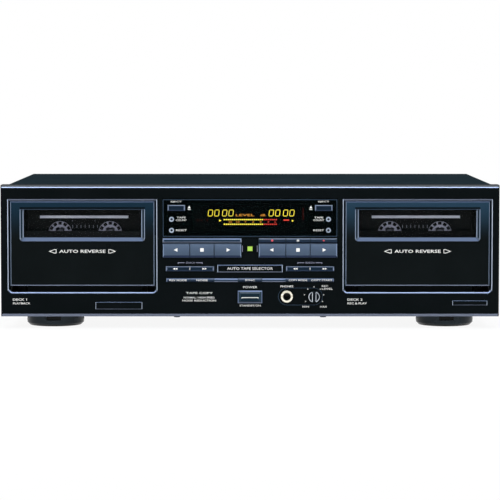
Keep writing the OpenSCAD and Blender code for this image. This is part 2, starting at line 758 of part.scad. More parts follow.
module mechanism_frame() {
    difference() {
        union() {
            translate([-frame_half, frame_d, 5]) cube([2 * frame_half, frame_t, fascia_h - wall_t - 5.6]);
            // ears for the door hinge
            for (i = [-1, 1]) translate([i * (ear_in + ear_t / 2), 0, 0]) {
                across(ear_t) translate([hinge_d, hinge_z]) circle(pin_r + 2);
                translate([-ear_t / 2, hinge_d, hinge_z - 2.4]) cube([ear_t, frame_d - hinge_d + eps, 4.8]);
            }
            // guide pins of the head plate
            for (i = [-1, 1]) rod(i * guide_x, head_top - 10, guide_r, frame_d - 3.6, frame_d + eps);
            // rear plate on four posts
            for (i = [-1, 1], z = [post_low, post_high])
                rod(i * post_x, z, 3, frame_back - eps, thrust_d + eps);
            translate([-post_x - 5, thrust_d, post_low - 5])
                cube([2 * post_x + 10, thrust_t, motor_z + motor_r + 6 - post_low]);
        }
        for (i = [-1, 1]) {
            rod(i * capstan_x, capstan_z, capstan_r + run_fit, frame_d - 1, thrust_d + 4);
            rod(i * hub_pitch / 2, hub_z, 1.5 + run_fit, frame_d - 1, frame_back + 1);
            across(200) translate([hinge_d, hinge_z]) circle(pin_r + run_fit);
            for (z = [mount_low, mount_high]) rod(i * mount_x, z, hole_r, frame_d - 1, frame_back + 1);
        }
        rod(motor_x, motor_z, 3.2, thrust_d - 1, thrust_d + 4);
        // lightening windows
        block(0, hub_z + 21, 60, 10, frame_d - 1, frame_back + 1);
        block(0, hub_z, 14, 22, frame_d - 1, frame_back + 1);
    }
}

module mechanism_frames() {
    color([0.55, 0.56, 0.57]) for (n = [1, 2]) at_mech(n) mechanism_frame();
}

module capstan_motors() {
    color([0.7, 0.71, 0.72]) for (n = [1, 2]) at_mech(n) {
        rod(motor_x, motor_z, motor_r, thrust_d + thrust_t, thrust_d + thrust_t + motor_len);
        rod(motor_x, motor_z, 3, thrust_d - 0.5, thrust_d + thrust_t + eps);
        rod(motor_x, motor_z, 1, fly_d, thrust_d);
        rod(motor_x, motor_z, pulley_r, fly_d, fly_d + fly_t);
    }
}

// One loop round the pulley and the forward flywheel; its outer side drives the reverse flywheel
module drive_belts() {
    color([0.05, 0.05, 0.05]) for (n = [1, 2]) at_mech(n) upright(fly_d + 1, fly_d + fly_t - 1)
        difference() {
        hull() {
            translate([motor_x, motor_z]) circle(pulley_r + belt_gap + belt_t);
            translate([-capstan_x, capstan_z]) circle(fly_r + belt_gap + belt_t);
        }
        hull() {
            translate([motor_x, motor_z]) circle(pulley_r + belt_gap);
            translate([-capstan_x, capstan_z]) circle(fly_r + belt_gap);
        }
    }
}

module flywheel(n, i) {
    color([0.6, 0.6, 0.62]) at_mech(n) {
        rod(i * capstan_x, capstan_z, capstan_r, tape_d - 3, thrust_d + thrust_t);
        difference() {
            rod(i * capstan_x, capstan_z, fly_r, fly_d, fly_d + fly_t);
            difference() {
                rod(i * capstan_x, capstan_z, fly_r - 4, fly_d - 1, fly_d + 2);
                rod(i * capstan_x, capstan_z, 5, fly_d - 2, fly_d + 3);
            }
        }
    }
}

module spindle(n, i) {
    color([0.75, 0.75, 0.76]) at_mech(n) translate([i * hub_pitch / 2, 0, hub_z]) {
        rod(0, 0, 3, tape_d - 2, frame_d - plate_gap);
        rod(0, 0, 7, frame_d - plate_gap - 2, frame_d - plate_gap);
        rod(0, 0, 1.5, frame_d - 1, frame_back + 1);
        rod(0, 0, 12, frame_back + plate_gap, frame_back + plate_gap + gear_t);
        for (a = [30, 150, 270]) rotate([0, a, 0]) translate([-0.6, tape_d - 1, 0])
            cube([1.2, cass_back - tape_d, 4.5]);
    }
}

module head_plate(n) {
    back = frame_d - plate_gap;
    color([0.65, 0.62, 0.55]) at_mech(n) {
        difference() {
            union() {
                translate([-head_half, back - 2, head_top - 18]) cube([2 * head_half, 2, 15]);
                // head on its bridge
                translate([-7, tape_d + 2, bridge_top - bridge_h]) cube([14, back - tape_d - 3, bridge_h]);
                intersection() {
                    translate([-6, tape_d - 2.6, head_top - 10]) cube([12, 5.2, 10]);
                    rod(0, head_top - 8, 8, tape_d - 3, tape_d + 3);
                }
                // arms and pins of the pinch rollers
                for (i = [-1, 1]) {
                    translate([i * capstan_x - 2, tape_d + 2.8, bridge_top - bridge_h]) {
                        cube([4, back - tape_d - 3, bridge_h]);
                        cube([4, arm_t, roller_rest + 2 - bridge_top + bridge_h]);
                    }
                    rod(i * capstan_x, roller_rest, 1, tape_d - 2.5, tape_d + 3);
                }
            }
            for (i = [-1, 1]) hull() for (z = [0, -head_travel])
                rod(i * guide_x, head_top - 10 + z, guide_r + 0.1, back - 3, back + 1);
        }
        for (i = [-1, 1]) difference() {
            rod(i * capstan_x, roller_rest, roller_r, tape_d - 2.5, tape_d + 2.5);
            rod(i * capstan_x, roller_rest, 1 + run_fit, tape_d - 4, tape_d + 4);
        }
    }
}

// Doors

module door(n) {
    color([0.06, 0.08, 0.09]) at_door(n) difference() {
        translate([0, 0, door_z + door_h / 2])
            bevelled(door_w, door_h, door_set, door_back, [0.8, 0.8, 0.8, 0.8], 0.8);
        hull() {
            upright(door_set - eps, door_set) well_outline(window_w, win_low, win_low + window_h, 2.5);
            upright(lens_d - eps, lens_d) well_outline(clear_w, clear_low, clear_top, 1);
        }
        block(0, (clear_low + clear_top) / 2, clear_w + 2 * lens_edge + 0.3,
            clear_top - clear_low + 2 * lens_edge + 0.3, lens_d, door_back + 1);
        // hollow of the lower part, behind the face
        translate([-door_w / 2 + 3, door_set + 2, door_z + 3]) cube([door_w - 6, door_t, window_z - 7]);
    }
}

module door_window(n) {
    color([0.3, 0.35, 0.38, 0.4]) at_door(n)
        block(0, (clear_low + clear_top) / 2, clear_w + 2 * lens_edge,
            clear_top - clear_low + 2 * lens_edge, lens_d, door_back);
}

module cassette_holder(n) {
    low = cass_z - 6;
    color([0.09, 0.09, 0.1]) at_mech(n) {
        difference() {
            translate([-side_out, door_back, low]) cube([2 * side_out, holder_t, cass_top - low - 1]);
            translate([side(n) * mech_shift - clear_w / 2, door_back - 1, slot_low])
                cube([clear_w, 4, clear_top - slot_low]);
        }
        for (i = [-1, 1]) {
            // side channel
            translate([i * (side_in + 1) - 1, holder_d - eps, low])
                cube([2, bulge_back - holder_d, cass_top - low - 8]);
            for (d = [bulge_d, cass_back + cass_gap]) translate([i * (side_in - 1) - 1.6, d, cass_z + 20])
                cube([3.2, cass_bulge - cass_gap, cass_h - 30]);
            // shelf under the cassette's corner
            translate([i * (side_in - 3) - 4, bulge_d, cass_z - cass_gap - 1.5])
                cube([8, bulge_back - bulge_d, 1.5]);
            // arm down to the hinge pin
            translate([i * (side_in + 1), 0, 0]) across(2) {
                polygon([[hinge_d - pin_r - 1.6, hinge_z], [hinge_d + pin_r + 1.6, hinge_z],
                    [bulge_back - 1, low + eps], [hinge_d, low + eps]]);
                translate([hinge_d, hinge_z]) circle(pin_r + 1.6);
            }
            translate([i * (side_in + 1 + (ear_t + 2) / 2), 0, 0]) across(ear_t + 2)
                translate([hinge_d, hinge_z]) circle(pin_r);
        }
    }
}

module cassette(n) {
    color([0.2, 0.21, 0.22]) at_mech(n) difference() {
        union() {
            upright(cass_d, cass_back) translate([0, cass_z + cass_h / 2]) rounded_rect(cass_w, cass_h, 2);
            upright(bulge_d, bulge_back)
                polygon([[-41, cass_z], [41, cass_z], [37, cass_z + 15], [-37, cass_z + 15]]);
        }
        // hollow for the tape
        upright(cass_d + shell_t, cass_back - shell_t) translate([0, hub_z + 1])
            rounded_rect(cass_w - 6, 46, 4);
        for (i = [-1, 1]) {
            rod(i * hub_pitch / 2, hub_z, hub_r - 0.5, cass_d - 1, cass_d + shell_t + eps);
            rod(i * hub_pitch / 2, hub_z, 6, cass_back - shell_t - eps, cass_back + 1);
            // capstan hole and roller opening
            rod(i * capstan_x, capstan_z - 1, 3.2, tape_d, bulge_back + 1);
            block(i * capstan_x, cass_z + 4, 12, 10, bulge_d + shell_t, bulge_back - shell_t);
        }
        block(0, cass_z + 3, 18, 9, bulge_d + shell_t, bulge_back - shell_t);
    }
}

// A reel hub with its windows, its six teeth and its wound tape
module reel_hub(n, i, tape_r) {
    back = cass_back - shell_t - 0.2;
    front = cass_d + shell_t + 0.2;
    color([0.85, 0.85, 0.83]) at_mech(n) translate([i * hub_pitch / 2, 0, hub_z]) {
        difference() {
            union() {
                rod(0, 0, hub_r, front, back);
                rod(0, 0, tape_r, tape_d - 1.9, tape_d + 1.9);
            }
            rod(0, 0, 5.4, front - 1, back + 1);
            for (a = [0:30:330]) rotate([0, a, 0]) translate([-1.5, front - 1, 7]) cube([3, 2.2, 2.6]);
        }
        for (a = [0:60:300]) rotate([0, a, 0]) translate([-0.8, front, 4.3]) cube([1.6, back - front, 1.5]);
    }
}

// Front controls

module display_window() {
    color([0.08, 0.09, 0.1, 0.6]) at_panel() {
        difference() {
            translate([0, 0, display_z + display_h / 2])
                bevelled(2 * display_half, display_h, 0, display_t, [0.5, 0.5, 0.5, 0.5], 0.5);
            for (s = [-1, 1]) {
                block(s * eject_x, eject_z, eject_w + 2 * key_gap, eject_h + 2 * key_gap, -1, 5);
                for (z = [counter_z, reset_z]) rod(s * round_x, z, round_dia / 2 + key_gap, -1, 5);
            }
        }
        // lens of the lamp between the key banks
        translate([0, 0, lamp_z]) bevelled(lamp_w, lamp_h, -0.6, face_t + 0.4, [0.4, 0.4, 0.4, 0.4], 0.4);
        block(0, lamp_z, lamp_w + 2, lamp_h + 2, face_t, face_t + 1);
    }
}

module eject_button(n) {
    color([0.2, 0.26, 0.3])
        key(side(n) * eject_x, eject_z, eject_w, eject_h, 1.6, [0.9, 0.9, 0.9, 0.9], 0.9);
}

module round_button(n, z) {
    color([0.3, 0.34, 0.38]) at_panel() translate([side(n) * round_x, 0, z]) {
        difference() {
            rod(0, 0, round_dia / 2, -1.2, face_t + key_gap + flange_t);
            rod(0, 0, round_dia / 2 - 0.9, -2, -0.6);
        }
        rod(0, 0, round_dia / 2 + 1, face_t + key_gap, face_t + key_gap + flange_t);
        rod(0, 0, 1.2, face_t, stem_end);
    }
}

module transport_key(n, k) {
    color([0.32, 0.37, 0.45]) key(key_x(n, k), key_z + key_h / 2, key_w(k), key_h, key_stand,
        [k == 0 ? 0.9 : 0.2, k == 2 ? 0.9 : 0.2, 2, 0.5], 1.4);
}

module strip_key(k) {
    color([0.2, 0.24, 0.3]) at_panel() translate([key_x(2, k), 0, strip_z + strip_key_h / 2]) {
        bevelled(key_w(k), strip_key_h - key_gap, -1.4, face_t + key_gap + flange_t, [0.3, 0.3, 0.9,
            0.9], 1);
        block(0, 0, 2.4, 2.4, face_t, stem_end);
    }
}

module search_rocker(n) {
    color([0.16, 0.2, 0.26]) at_panel() translate([side(n) * search_x, 0, search_z]) {
        bevelled(search_w, search_h, -1.6, face_t - 0.4, [1, 1, 0.9, 0.9], 0.9);
        translate([0, face_t + 1.8, 0]) cylinder(r = 1.5, h = search_h, center = true);
        block(0, 0, 3, search_h, face_t - 1, face_t + 1.8);
        for (i = [-1, 1]) block(i * (search_w / 2 - 5), 0, 2.4, 2.4, face_t - 1, stem_end);
    }
}

module slim_button(i) {
    color([0.3, 0.36, 0.43]) at_panel() translate([slim_x(i), 0, slim_z]) {
        bevelled(slim_pitch - key_gap, slim_h, -slim_stand, face_t + key_gap + flange_t,
            [i == 0 ? 0.9 : 0.2, i == 6 ? 0.9 : 0.2, 0.9, 0.9], 0.9);
        block(0, 0, slim_pitch - 3, slim_h + 1.6, face_t + key_gap, face_t + key_gap + flange_t);
        block(0, 0, 2.4, 2.4, face_t, stem_end);
    }
}

module power_button() {
    color([0.16, 0.24, 0.29]) difference() {
        key(0, power_z, power_w, power_h, 2.2, [0.6, 0.6, 0.6, 0.6], 0.6);
        at_panel() block(0, power_z - 0.8, power_w - 3, 0.7, -3, -1.8);
    }
}

module level_knob() {
    color([0.12, 0.13, 0.14]) at_panel() translate([knob_x, 0, phones_z]) {
        rod(0, 0, knob_dia / 2, -4, recess_depth - 0.4);
        intersection() {
            block(0, 0, 3.5, knob_dia, -knob_stand, 0);
            rod(0, 0, knob_dia / 2, -knob_stand, 0);
        }
        rod(0, 0, 2.4, 0, board_d - 0.5);
    }
}

chassis();
top_cover();
rear_panel();
front_panel();
display_window();
circuit_boards();
power_transformer();
feet();
screws();
phones_jack();
rear_sockets();
mechanism_frames();
capstan_motors();
drive_belts();
door(1);  // door_1
door_window(1);  // door_window_1
cassette_holder(1);  // cassette_holder_1
cassette(1);  // cassette_1
reel_hub(1, -1, tape_full_r);  // supply_hub_1
reel_hub(1, 1, tape_low_r);  // takeup_hub_1
spindle(1, -1);  // supply_spindle_1
spindle(1, 1);  // takeup_spindle_1
flywheel(1, -1);  // forward_flywheel_1
flywheel(1, 1);  // reverse_flywheel_1
head_plate(1);  // head_plate_1
door(2);  // door_2
door_window(2);  // door_window_2
cassette_holder(2);  // cassette_holder_2
cassette(2);  // cassette_2
reel_hub(2, -1, tape_full_r);  // supply_hub_2
reel_hub(2, 1, tape_low_r);  // takeup_hub_2
spindle(2, -1);  // supply_spindle_2
spindle(2, 1);  // takeup_spindle_2
flywheel(2, -1);  // forward_flywheel_2
flywheel(2, 1);  // reverse_flywheel_2
head_plate(2);  // head_plate_2
eject_button(1);  // eject_button_1
round_button(1, counter_z);  // counter_button_1
round_button(1, reset_z);  // reset_button_1
transport_key(1, 0);  // reverse_key_1
transport_key(1, 1);  // stop_key_1
transport_key(1, 2);  // play_key_1
search_rocker(1);  // search_rocker_1
eject_button(2);  // eject_button_2
round_button(2, counter_z);  // counter_button_2
round_button(2, reset_z);  // reset_button_2
transport_key(2, 0);  // reverse_key_2
transport_key(2, 1);  // stop_key_2
transport_key(2, 2);  // play_key_2
search_rocker(2);  // search_rocker_2
strip_key(0);  // record_key
strip_key(1);  // pause_key
strip_key(2);  // mute_key
slim_button(0);  // rev_mode_button
slim_button(1);  // noise_button
slim_button(3);  // sync_button
slim_button(5);  // copy_mode_button
slim_button(6);  // copy_start_button
power_button();
level_knob();
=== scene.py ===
"""Looks of the double cassette deck: its finishes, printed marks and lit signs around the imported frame."""

import math

import bmesh
import bpy
from mathutils import Matrix, Vector


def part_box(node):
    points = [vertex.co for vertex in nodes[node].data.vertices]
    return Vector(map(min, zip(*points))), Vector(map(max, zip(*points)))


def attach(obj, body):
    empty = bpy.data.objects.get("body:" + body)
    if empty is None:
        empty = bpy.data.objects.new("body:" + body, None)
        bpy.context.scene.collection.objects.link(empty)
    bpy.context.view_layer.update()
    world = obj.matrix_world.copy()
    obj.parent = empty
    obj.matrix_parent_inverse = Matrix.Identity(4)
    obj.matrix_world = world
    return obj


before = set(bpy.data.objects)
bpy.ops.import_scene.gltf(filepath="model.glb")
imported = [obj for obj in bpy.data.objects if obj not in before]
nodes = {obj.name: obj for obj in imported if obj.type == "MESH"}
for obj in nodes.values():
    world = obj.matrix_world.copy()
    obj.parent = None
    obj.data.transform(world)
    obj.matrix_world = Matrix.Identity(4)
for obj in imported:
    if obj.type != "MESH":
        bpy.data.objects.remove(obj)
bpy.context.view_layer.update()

# Panel coordinates in millimetres: x across, d behind the panel's face, z above its lower edge
MM = 0.001
FACE_Y = -0.133
FOOT_H = 0.010
TO_FRAME = Matrix.Translation((0, FACE_Y, FOOT_H)) @ Matrix.Scale(MM, 4)
DECKS = (1, 2)
SIDE = {1: -1, 2: 1}


def frame_y(d):
    """The frame's y, in metres, of a depth behind the panel's face."""
    return FACE_Y + d * MM


def frame_z(z):
    """The frame's z, in metres, of a height above the panel's lower edge."""
    return FOOT_H + z * MM


def depths_of(name):
    """The depths of a node's front and back, to a hundredth."""
    low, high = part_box(name)
    return round((low[1] - FACE_Y) / MM, 2), round((high[1] - FACE_Y) / MM, 2)


def middle_of(name):
    """The x and z of the middle of a node, to a hundredth."""
    low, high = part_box(name)
    return round((low[0] + high[0]) / 2 / MM, 2), round(((low[2] + high[2]) / 2 - FOOT_H) / MM, 2)


# Places taken from the frame
DOOR_X = {deck: middle_of(f"door_{deck}")[0] for deck in DECKS}
DOOR_FACE_D = depths_of("door_1")[0]
CASSETTE_X = {deck: middle_of(f"cassette_{deck}")[0] for deck in DECKS}
STOP_KEY_X = {deck: middle_of(f"stop_key_{deck}")[0] for deck in DECKS}
KEY_FACE_D = depths_of("stop_key_1")[0]
STRIP_KEY_Z = middle_of("pause_key")[1]
STRIP_KEY_FACE_D = depths_of("pause_key")[0]
ROCKER_X = {deck: middle_of(f"search_rocker_{deck}")[0] for deck in DECKS}
ROCKER_FACE_D = depths_of("search_rocker_1")[0]
POWER_FACE_D = depths_of("power_button")[0]
KNOB_X, KNOB_Z = middle_of("level_knob")
GRIP_FACE_D = depths_of("level_knob")[0]
PHONES_X, PHONES_Z = middle_of("phones_jack")
LENS_FACE_D = depths_of("display_window")[0]
TUBE_FACE_D = depths_of("circuit_boards")[0]
REAR_FACE_D = depths_of("rear_panel")[1]

# Sizes and places on the faces of nodes
PRINT_T = 0.05
KEY_PITCH = 21.7
PLATE_FACE_D = -0.1
CASSETTE_FACE_D = 13.65
WINDOW_W = 105.3
WINDOW_TOP = 90.6


# Shader helpers

FINE_GRAIN = 2600.0
MOTTLE_SCALE = 0.012
DRAWN_LINES = 700.0
GRAIN_DEPTH = 0.0001
LINE_DEPTH = 0.00005
NOISE_LOW, NOISE_HIGH = 0.3, 0.7


def srgb(r, g, b):
    """A screen colour of 0 to 255 as linear light with full alpha."""
    def linear(c):
        c /= 255
        return c / 12.92 if c <= 0.04045 else ((c + 0.055) / 1.055) ** 2.4
    return (linear(r), linear(g), linear(b), 1.0)


def node(tree, kind, values=None, **settings):
    """A shader node with its settings, and with each input set to a value or linked to a socket."""
    made = tree.nodes.new(kind)
    for name, value in settings.items():
        setattr(made, name, value)
    for name, value in (values or {}).items():
        if isinstance(value, bpy.types.NodeSocket):
            tree.links.new(value, made.inputs[name])
        else:
            made.inputs[name].default_value = value
    return made


def coordinate(tree, kind="Object"):
    return node(tree, "ShaderNodeTexCoord").outputs[kind]


def axes(tree, vector):
    """The x, y and z of a vector."""
    return node(tree, "ShaderNodeSeparateXYZ", {0: vector}).outputs


def absolute(tree, vector):
    return node(tree, "ShaderNodeVectorMath", {0: vector}, operation="ABSOLUTE").outputs[0]


def length(tree, vector):
    return node(tree, "ShaderNodeVectorMath", {0: vector}, operation="LENGTH").outputs["Value"]


def shifted(tree, vector, away, scale):
    """A vector scaled along each axis and then moved."""
    return node(tree, "ShaderNodeMapping", {"Vector": vector, "Location": away, "Scale": scale}).outputs[0]


def calc(tree, operation, a, b=0.0, clamp=False):
    """One step of arithmetic."""
    return node(tree, "ShaderNodeMath", {0: a, 1: b}, operation=operation, use_clamp=clamp).outputs[0]


def times(tree, a, b):
    return calc(tree, "MULTIPLY", a, b)


def without(tree, mask):
    """The rest of a mask."""
    return calc(tree, "SUBTRACT", 1.0, mask)


def mixed(tree, factor, a, b):
    """Colour a where factor is 0, b where it is 1."""
    return node(tree, "ShaderNodeMix", {0: factor, 6: a, 7: b}, data_type="RGBA").outputs[2]


def ranged(tree, value, low, high, to_low=0.0, to_high=1.0):
    """A value from one range brought to another, and held at its ends."""
    return node(tree, "ShaderNodeMapRange", {0: value, 1: low, 2: high, 3: to_low, 4: to_high}).outputs[0]


def noise(tree, place, scale, detail):
    return node(tree, "ShaderNodeTexNoise", {"Vector": place, "Scale": scale, "Detail": detail}).outputs[0]


def spread(tree, value, low=0.0, high=1.0):
    """Noise spread over a range, because most of it stays near its middle."""
    return ranged(tree, value, NOISE_LOW, NOISE_HIGH, low, high)


def blended(tree, a, b, share):
    """Two values added up, with b's share."""
    return calc(tree, "ADD", times(tree, a, 1.0 - share), times(tree, b, share))


# Shared effects


def effect(name, inputs, outputs):
    """An empty node group with float sockets: its tree, its input node and its output node."""
    tree = bpy.data.node_groups.new(name, "ShaderNodeTree")
    for label, value in inputs:
        socket = tree.interface.new_socket(label, in_out="INPUT", socket_type="NodeSocketFloat")
        socket.default_value = value
    for label in outputs:
        tree.interface.new_socket(label, in_out="OUTPUT", socket_type="NodeSocketFloat")
    return tree, tree.nodes.new("NodeGroupInput"), tree.nodes.new("NodeGroupOutput")


def moulded_grain():
    """Fine spark-eroded grain of a mould, and a slow mottle of the colour."""
    tree, given, out = effect("moulded_grain", [("Scale", FINE_GRAIN)], ["Height", "Mottle"])
    scale = given.outputs["Scale"]
    place = coordinate(tree)
    fine = noise(tree, place, scale, detail=3.0)
    slow = noise(tree, place, times(tree, scale, MOTTLE_SCALE), detail=2.0)
    tree.links.new(fine, out.inputs["Height"])
    tree.links.new(spread(tree, blended(tree, slow, fine, share=0.3)), out.inputs["Mottle"])
    return tree


def bevel_mask():
    """Where a flat moulding has slanted faces, told apart by whether they look up, sideways or down. The
    materials paint these faces lighter or darker by the way they face, as painted highlights and painted
    shade, and put a coat on them.
    """
    tree, given, out = effect("bevel_mask", [("Start", 0.05), ("End", 0.16)], ["Up", "Side", "Down"])
    level, steep = 0.1, 0.4
    normal = coordinate(tree, "Normal")
    part = axes(tree, absolute(tree, normal))
    largest = calc(tree, "MAXIMUM", calc(tree, "MAXIMUM", part[0], part[1]), part[2])
    slant = ranged(tree, without(tree, largest), given.outputs["Start"], given.outputs["End"])
    rise = axes(tree, normal)[2]
    up = times(tree, slant, ranged(tree, rise, level, steep))
    down = times(tree, slant, ranged(tree, rise, -level, -steep))
    side = calc(tree, "SUBTRACT", slant, calc(tree, "ADD", up, down), clamp=True)
    for label, mask in (("Up", up), ("Side", side), ("Down", down)):
        tree.links.new(mask, out.inputs[label])
    return tree


def handling():
    """Faint fingermarks, and dust that lies on faces that look up."""
    tree, given, out = effect("handling", [("Amount", 0.3)], ["Dust", "Smudge"])
    place = coordinate(tree)
    cloud = noise(tree, place, scale=46.0, detail=5.0)
    speck = noise(tree, place, scale=900.0, detail=2.0)
    up = axes(tree, coordinate(tree, "Normal"))[2]
    lying = times(tree, ranged(tree, up, 0.2, 1.0), ranged(tree, speck, 0.52, 0.7))
    thick = times(tree, lying, ranged(tree, cloud, 0.35, 0.7))
    dust = calc(tree, "MULTIPLY", thick, given.outputs["Amount"], clamp=True)
    tree.links.new(dust, out.inputs["Dust"])
    tree.links.new(spread(tree, cloud), out.inputs["Smudge"])
    return tree


def drawn_lines():
    """Lines of rolled, turned or brushed metal along X, and their slow changes of tone."""
    tree, given, out = effect("drawn_lines", [("Scale", DRAWN_LINES)], ["Height", "Tone"])
    place = coordinate(tree)
    stretched = shifted(tree, place, away=(0, 0, 0), scale=(0.03, 1.0, 1.0))
    lines = noise(tree, stretched, given.outputs["Scale"], detail=3.0)
    slow = noise(tree, place, scale=30.0, detail=3.0)
    tree.links.new(lines, out.inputs["Height"])
    tree.links.new(spread(tree, blended(tree, lines, slow, share=0.4)), out.inputs["Tone"])
    return tree


GRAIN, BEVEL, HANDLING, LINES = moulded_grain(), bevel_mask(), handling(), drawn_lines()


def placed(tree, group, **values):
    """A shared effect put into a tree: its outputs."""
    made = node(tree, "ShaderNodeGroup")
    made.node_tree = group
    for label, value in values.items():
        made.inputs[label].default_value = value
    return made.outputs


# Kinds of material, with places in panel millimetres

DUST = srgb(150, 152, 150)
BEVEL_COAT = 0.5
BEVEL_COAT_ROUGH = 0.2
BEVEL_LINES_TOP = 107.0
PLATE_EDGE = 0.06
NOTCH_EDGE = 0.4


def material(name, **constants):
    """A new material: itself, its node tree and its Principled shader, with the constant sockets set."""
    made = bpy.data.materials.new(name)
    made.use_nodes = True
    shader = next(n for n in made.node_tree.nodes if n.type == "BSDF_PRINCIPLED")
    for label, value in constants.items():
        shader.inputs[label.replace("_", " ")].default_value = value
    return made, made.node_tree, shader


def feed(tree, shader, **sockets):
    """Links sockets to the shader's inputs."""
    for label, socket in sockets.items():
        tree.links.new(socket, shader.inputs[label.replace("_", " ")])


def relief(tree, shader, height, strength, depth):
    bump = node(tree, "ShaderNodeBump", {"Height": height, "Strength": strength, "Distance": depth})
    feed(tree, shader, Normal=bump.outputs[0])


def smudged(tree, use, low, high):
    """A value that fingermarks change from low to high."""
    return ranged(tree, use["Smudge"], 0.0, 1.0, low, high)


def faded(tree, colour, height, steps):
    """A colour that changes with the height; steps lists (tone, z where it starts, z where it is full)."""
    for tone, start, full in steps:
        share = node(tree, "ShaderNodeMapRange", {0: height, 1: frame_z(start), 2: frame_z(full)},
                     interpolation_type="SMOOTHSTEP")
        colour = mixed(tree, share.outputs[0], colour, tone)
    return colour


def bevelled(tree, colour, place, edges, painted_bands, ends):
    """A colour with the painted light of the bevels over it, and where those bevels shine. edges are their
    colours where
    they look up, sideways and down: painted highlights, and painted shade where they are darker. hollow lists
    (way, tone, depths where it starts, is full, ends and is gone): the bevels that look that way have that
    tone there, below BEVEL_LINES_TOP, as painted highlights and painted shade, so that a rounded moulding
    shows thin bright lines. ends is (tone, x) of what is farther out than x, which keeps the painted bevel
    light off there."""
    slant = placed(tree, BEVEL)
    for way, tone in zip(("Up", "Side", "Down"), edges):
        colour = mixed(tree, slant[way], colour, tone)
    shine = calc(tree, "ADD", slant["Up"], slant["Side"], clamp=True)
    below_top = ranged(tree, place[2], frame_z(BEVEL_LINES_TOP), frame_z(BEVEL_LINES_TOP + 1.0), 1.0, 0.0)
    for way, tone, (start, full, end, gone) in painted_bands:
        begun = ranged(tree, place[1], frame_y(start), frame_y(full))
        not_over = ranged(tree, place[1], frame_y(end), frame_y(gone), 1.0, 0.0)
        band = times(tree, times(tree, begun, not_over), below_top)
        colour = mixed(tree, times(tree, band, slant[way]), colour, tone)
        shine = times(tree, shine, without(tree, band))
    if ends:
        tone, far = ends
        outer = calc(tree, "GREATER_THAN", calc(tree, "ABSOLUTE", place[0]), far * MM)
        colour = mixed(tree, outer, colour, tone)
        shine = times(tree, shine, without(tree, outer))
    return colour, shine


def moulding(name, dark, light, rough, edges=None, painted_bands=(), ends=None, raised=None, fade=(), after=(),
             sunk=None, grain=FINE_GRAIN, bump=0.12, dust=0.25, spec=0.15):
    """Moulded plastic or paint: mottled between two tones, with grain, fingermarks and dust.
    raised is (tone, depth) of the faces in front of that depth. fade lists (tone, z where it starts, z where
    it is full), and after does so over the bevels too and dulls them. sunk is (tone, depth where it starts,
    depth where it is full)."""
    made, tree, shader = material(name, Specular_IOR_Level=spec)
    skin = placed(tree, GRAIN, Scale=grain)
    use = placed(tree, HANDLING, Amount=dust)
    place = axes(tree, coordinate(tree))
    colour = faded(tree, mixed(tree, skin["Mottle"], dark, light), place[2], fade)
    smooth = smudged(tree, use, rough * 0.85, min(rough * 1.15, 1.0))
    if raised:
        tone, level = raised
        colour = mixed(tree, calc(tree, "LESS_THAN", place[1], frame_y(level)), colour, tone)
    if edges:
        colour, shine = bevelled(tree, colour, place, edges, painted_bands, ends)
        feed(tree, shader, Coat_Weight=times(tree, shine, BEVEL_COAT))
        shader.inputs["Coat Roughness"].default_value = BEVEL_COAT_ROUGH
    colour = faded(tree, colour, place[2], after)
    for _, start, full in after:
        smooth = calc(tree, "MAXIMUM", smooth, ranged(tree, place[2], frame_z(start), frame_z(full)))
    if sunk:
        tone, start, full = sunk
        colour = mixed(tree, ranged(tree, place[1], frame_y(start), frame_y(full)), colour, tone)
    feed(tree, shader, Base_Color=mixed(tree, use["Dust"], colour, DUST), Roughness=smooth)
    relief(tree, shader, skin["Height"], bump, GRAIN_DEPTH)
    return made


def metal(name, dark, light, rough, lines=DRAWN_LINES, bump=0.1):
    """Bare or plated metal with drawn lines."""
    made, tree, shader = material(name, Metallic=1.0)
    drawn = placed(tree, LINES, Scale=lines)
    use = placed(tree, HANDLING, Amount=0.2)
    colour = mixed(tree, drawn["Tone"], dark, light)
    feed(tree, shader, Base_Color=mixed(tree, use["Dust"], colour, DUST),
         Roughness=smudged(tree, use, rough * 0.8, rough * 1.25))
    relief(tree, shader, drawn["Height"], bump, LINE_DEPTH)
    return made


def plated_ring(name, x, z, bore, body):
    """The gold-plated ring of a socket, with its bore painted dark as painted shade, and black behind the
    depth of its body.
    """
    made, tree, shader = material(name)
    place = coordinate(tree)
    radius = length(tree, shifted(tree, place, away=(-x * MM, 0, -frame_z(z)), scale=(1, 0, 1)))
    in_front = calc(tree, "LESS_THAN", axes(tree, place)[1], frame_y(body))
    ring = times(tree, ranged(tree, radius, bore * MM, bore * MM * 1.03), in_front)
    drawn = placed(tree, LINES, Scale=DRAWN_LINES)
    gold = mixed(tree, drawn["Tone"], srgb(246, 234, 206), srgb(255, 250, 236))
    feed(tree, shader, Base_Color=mixed(tree, ring, srgb(8, 9, 10), gold),
         Metallic=ranged(tree, ring, 0.0, 1.0, 0.0, 0.6), Roughness=spread(tree, drawn["Height"], 0.22, 0.34))
    return made


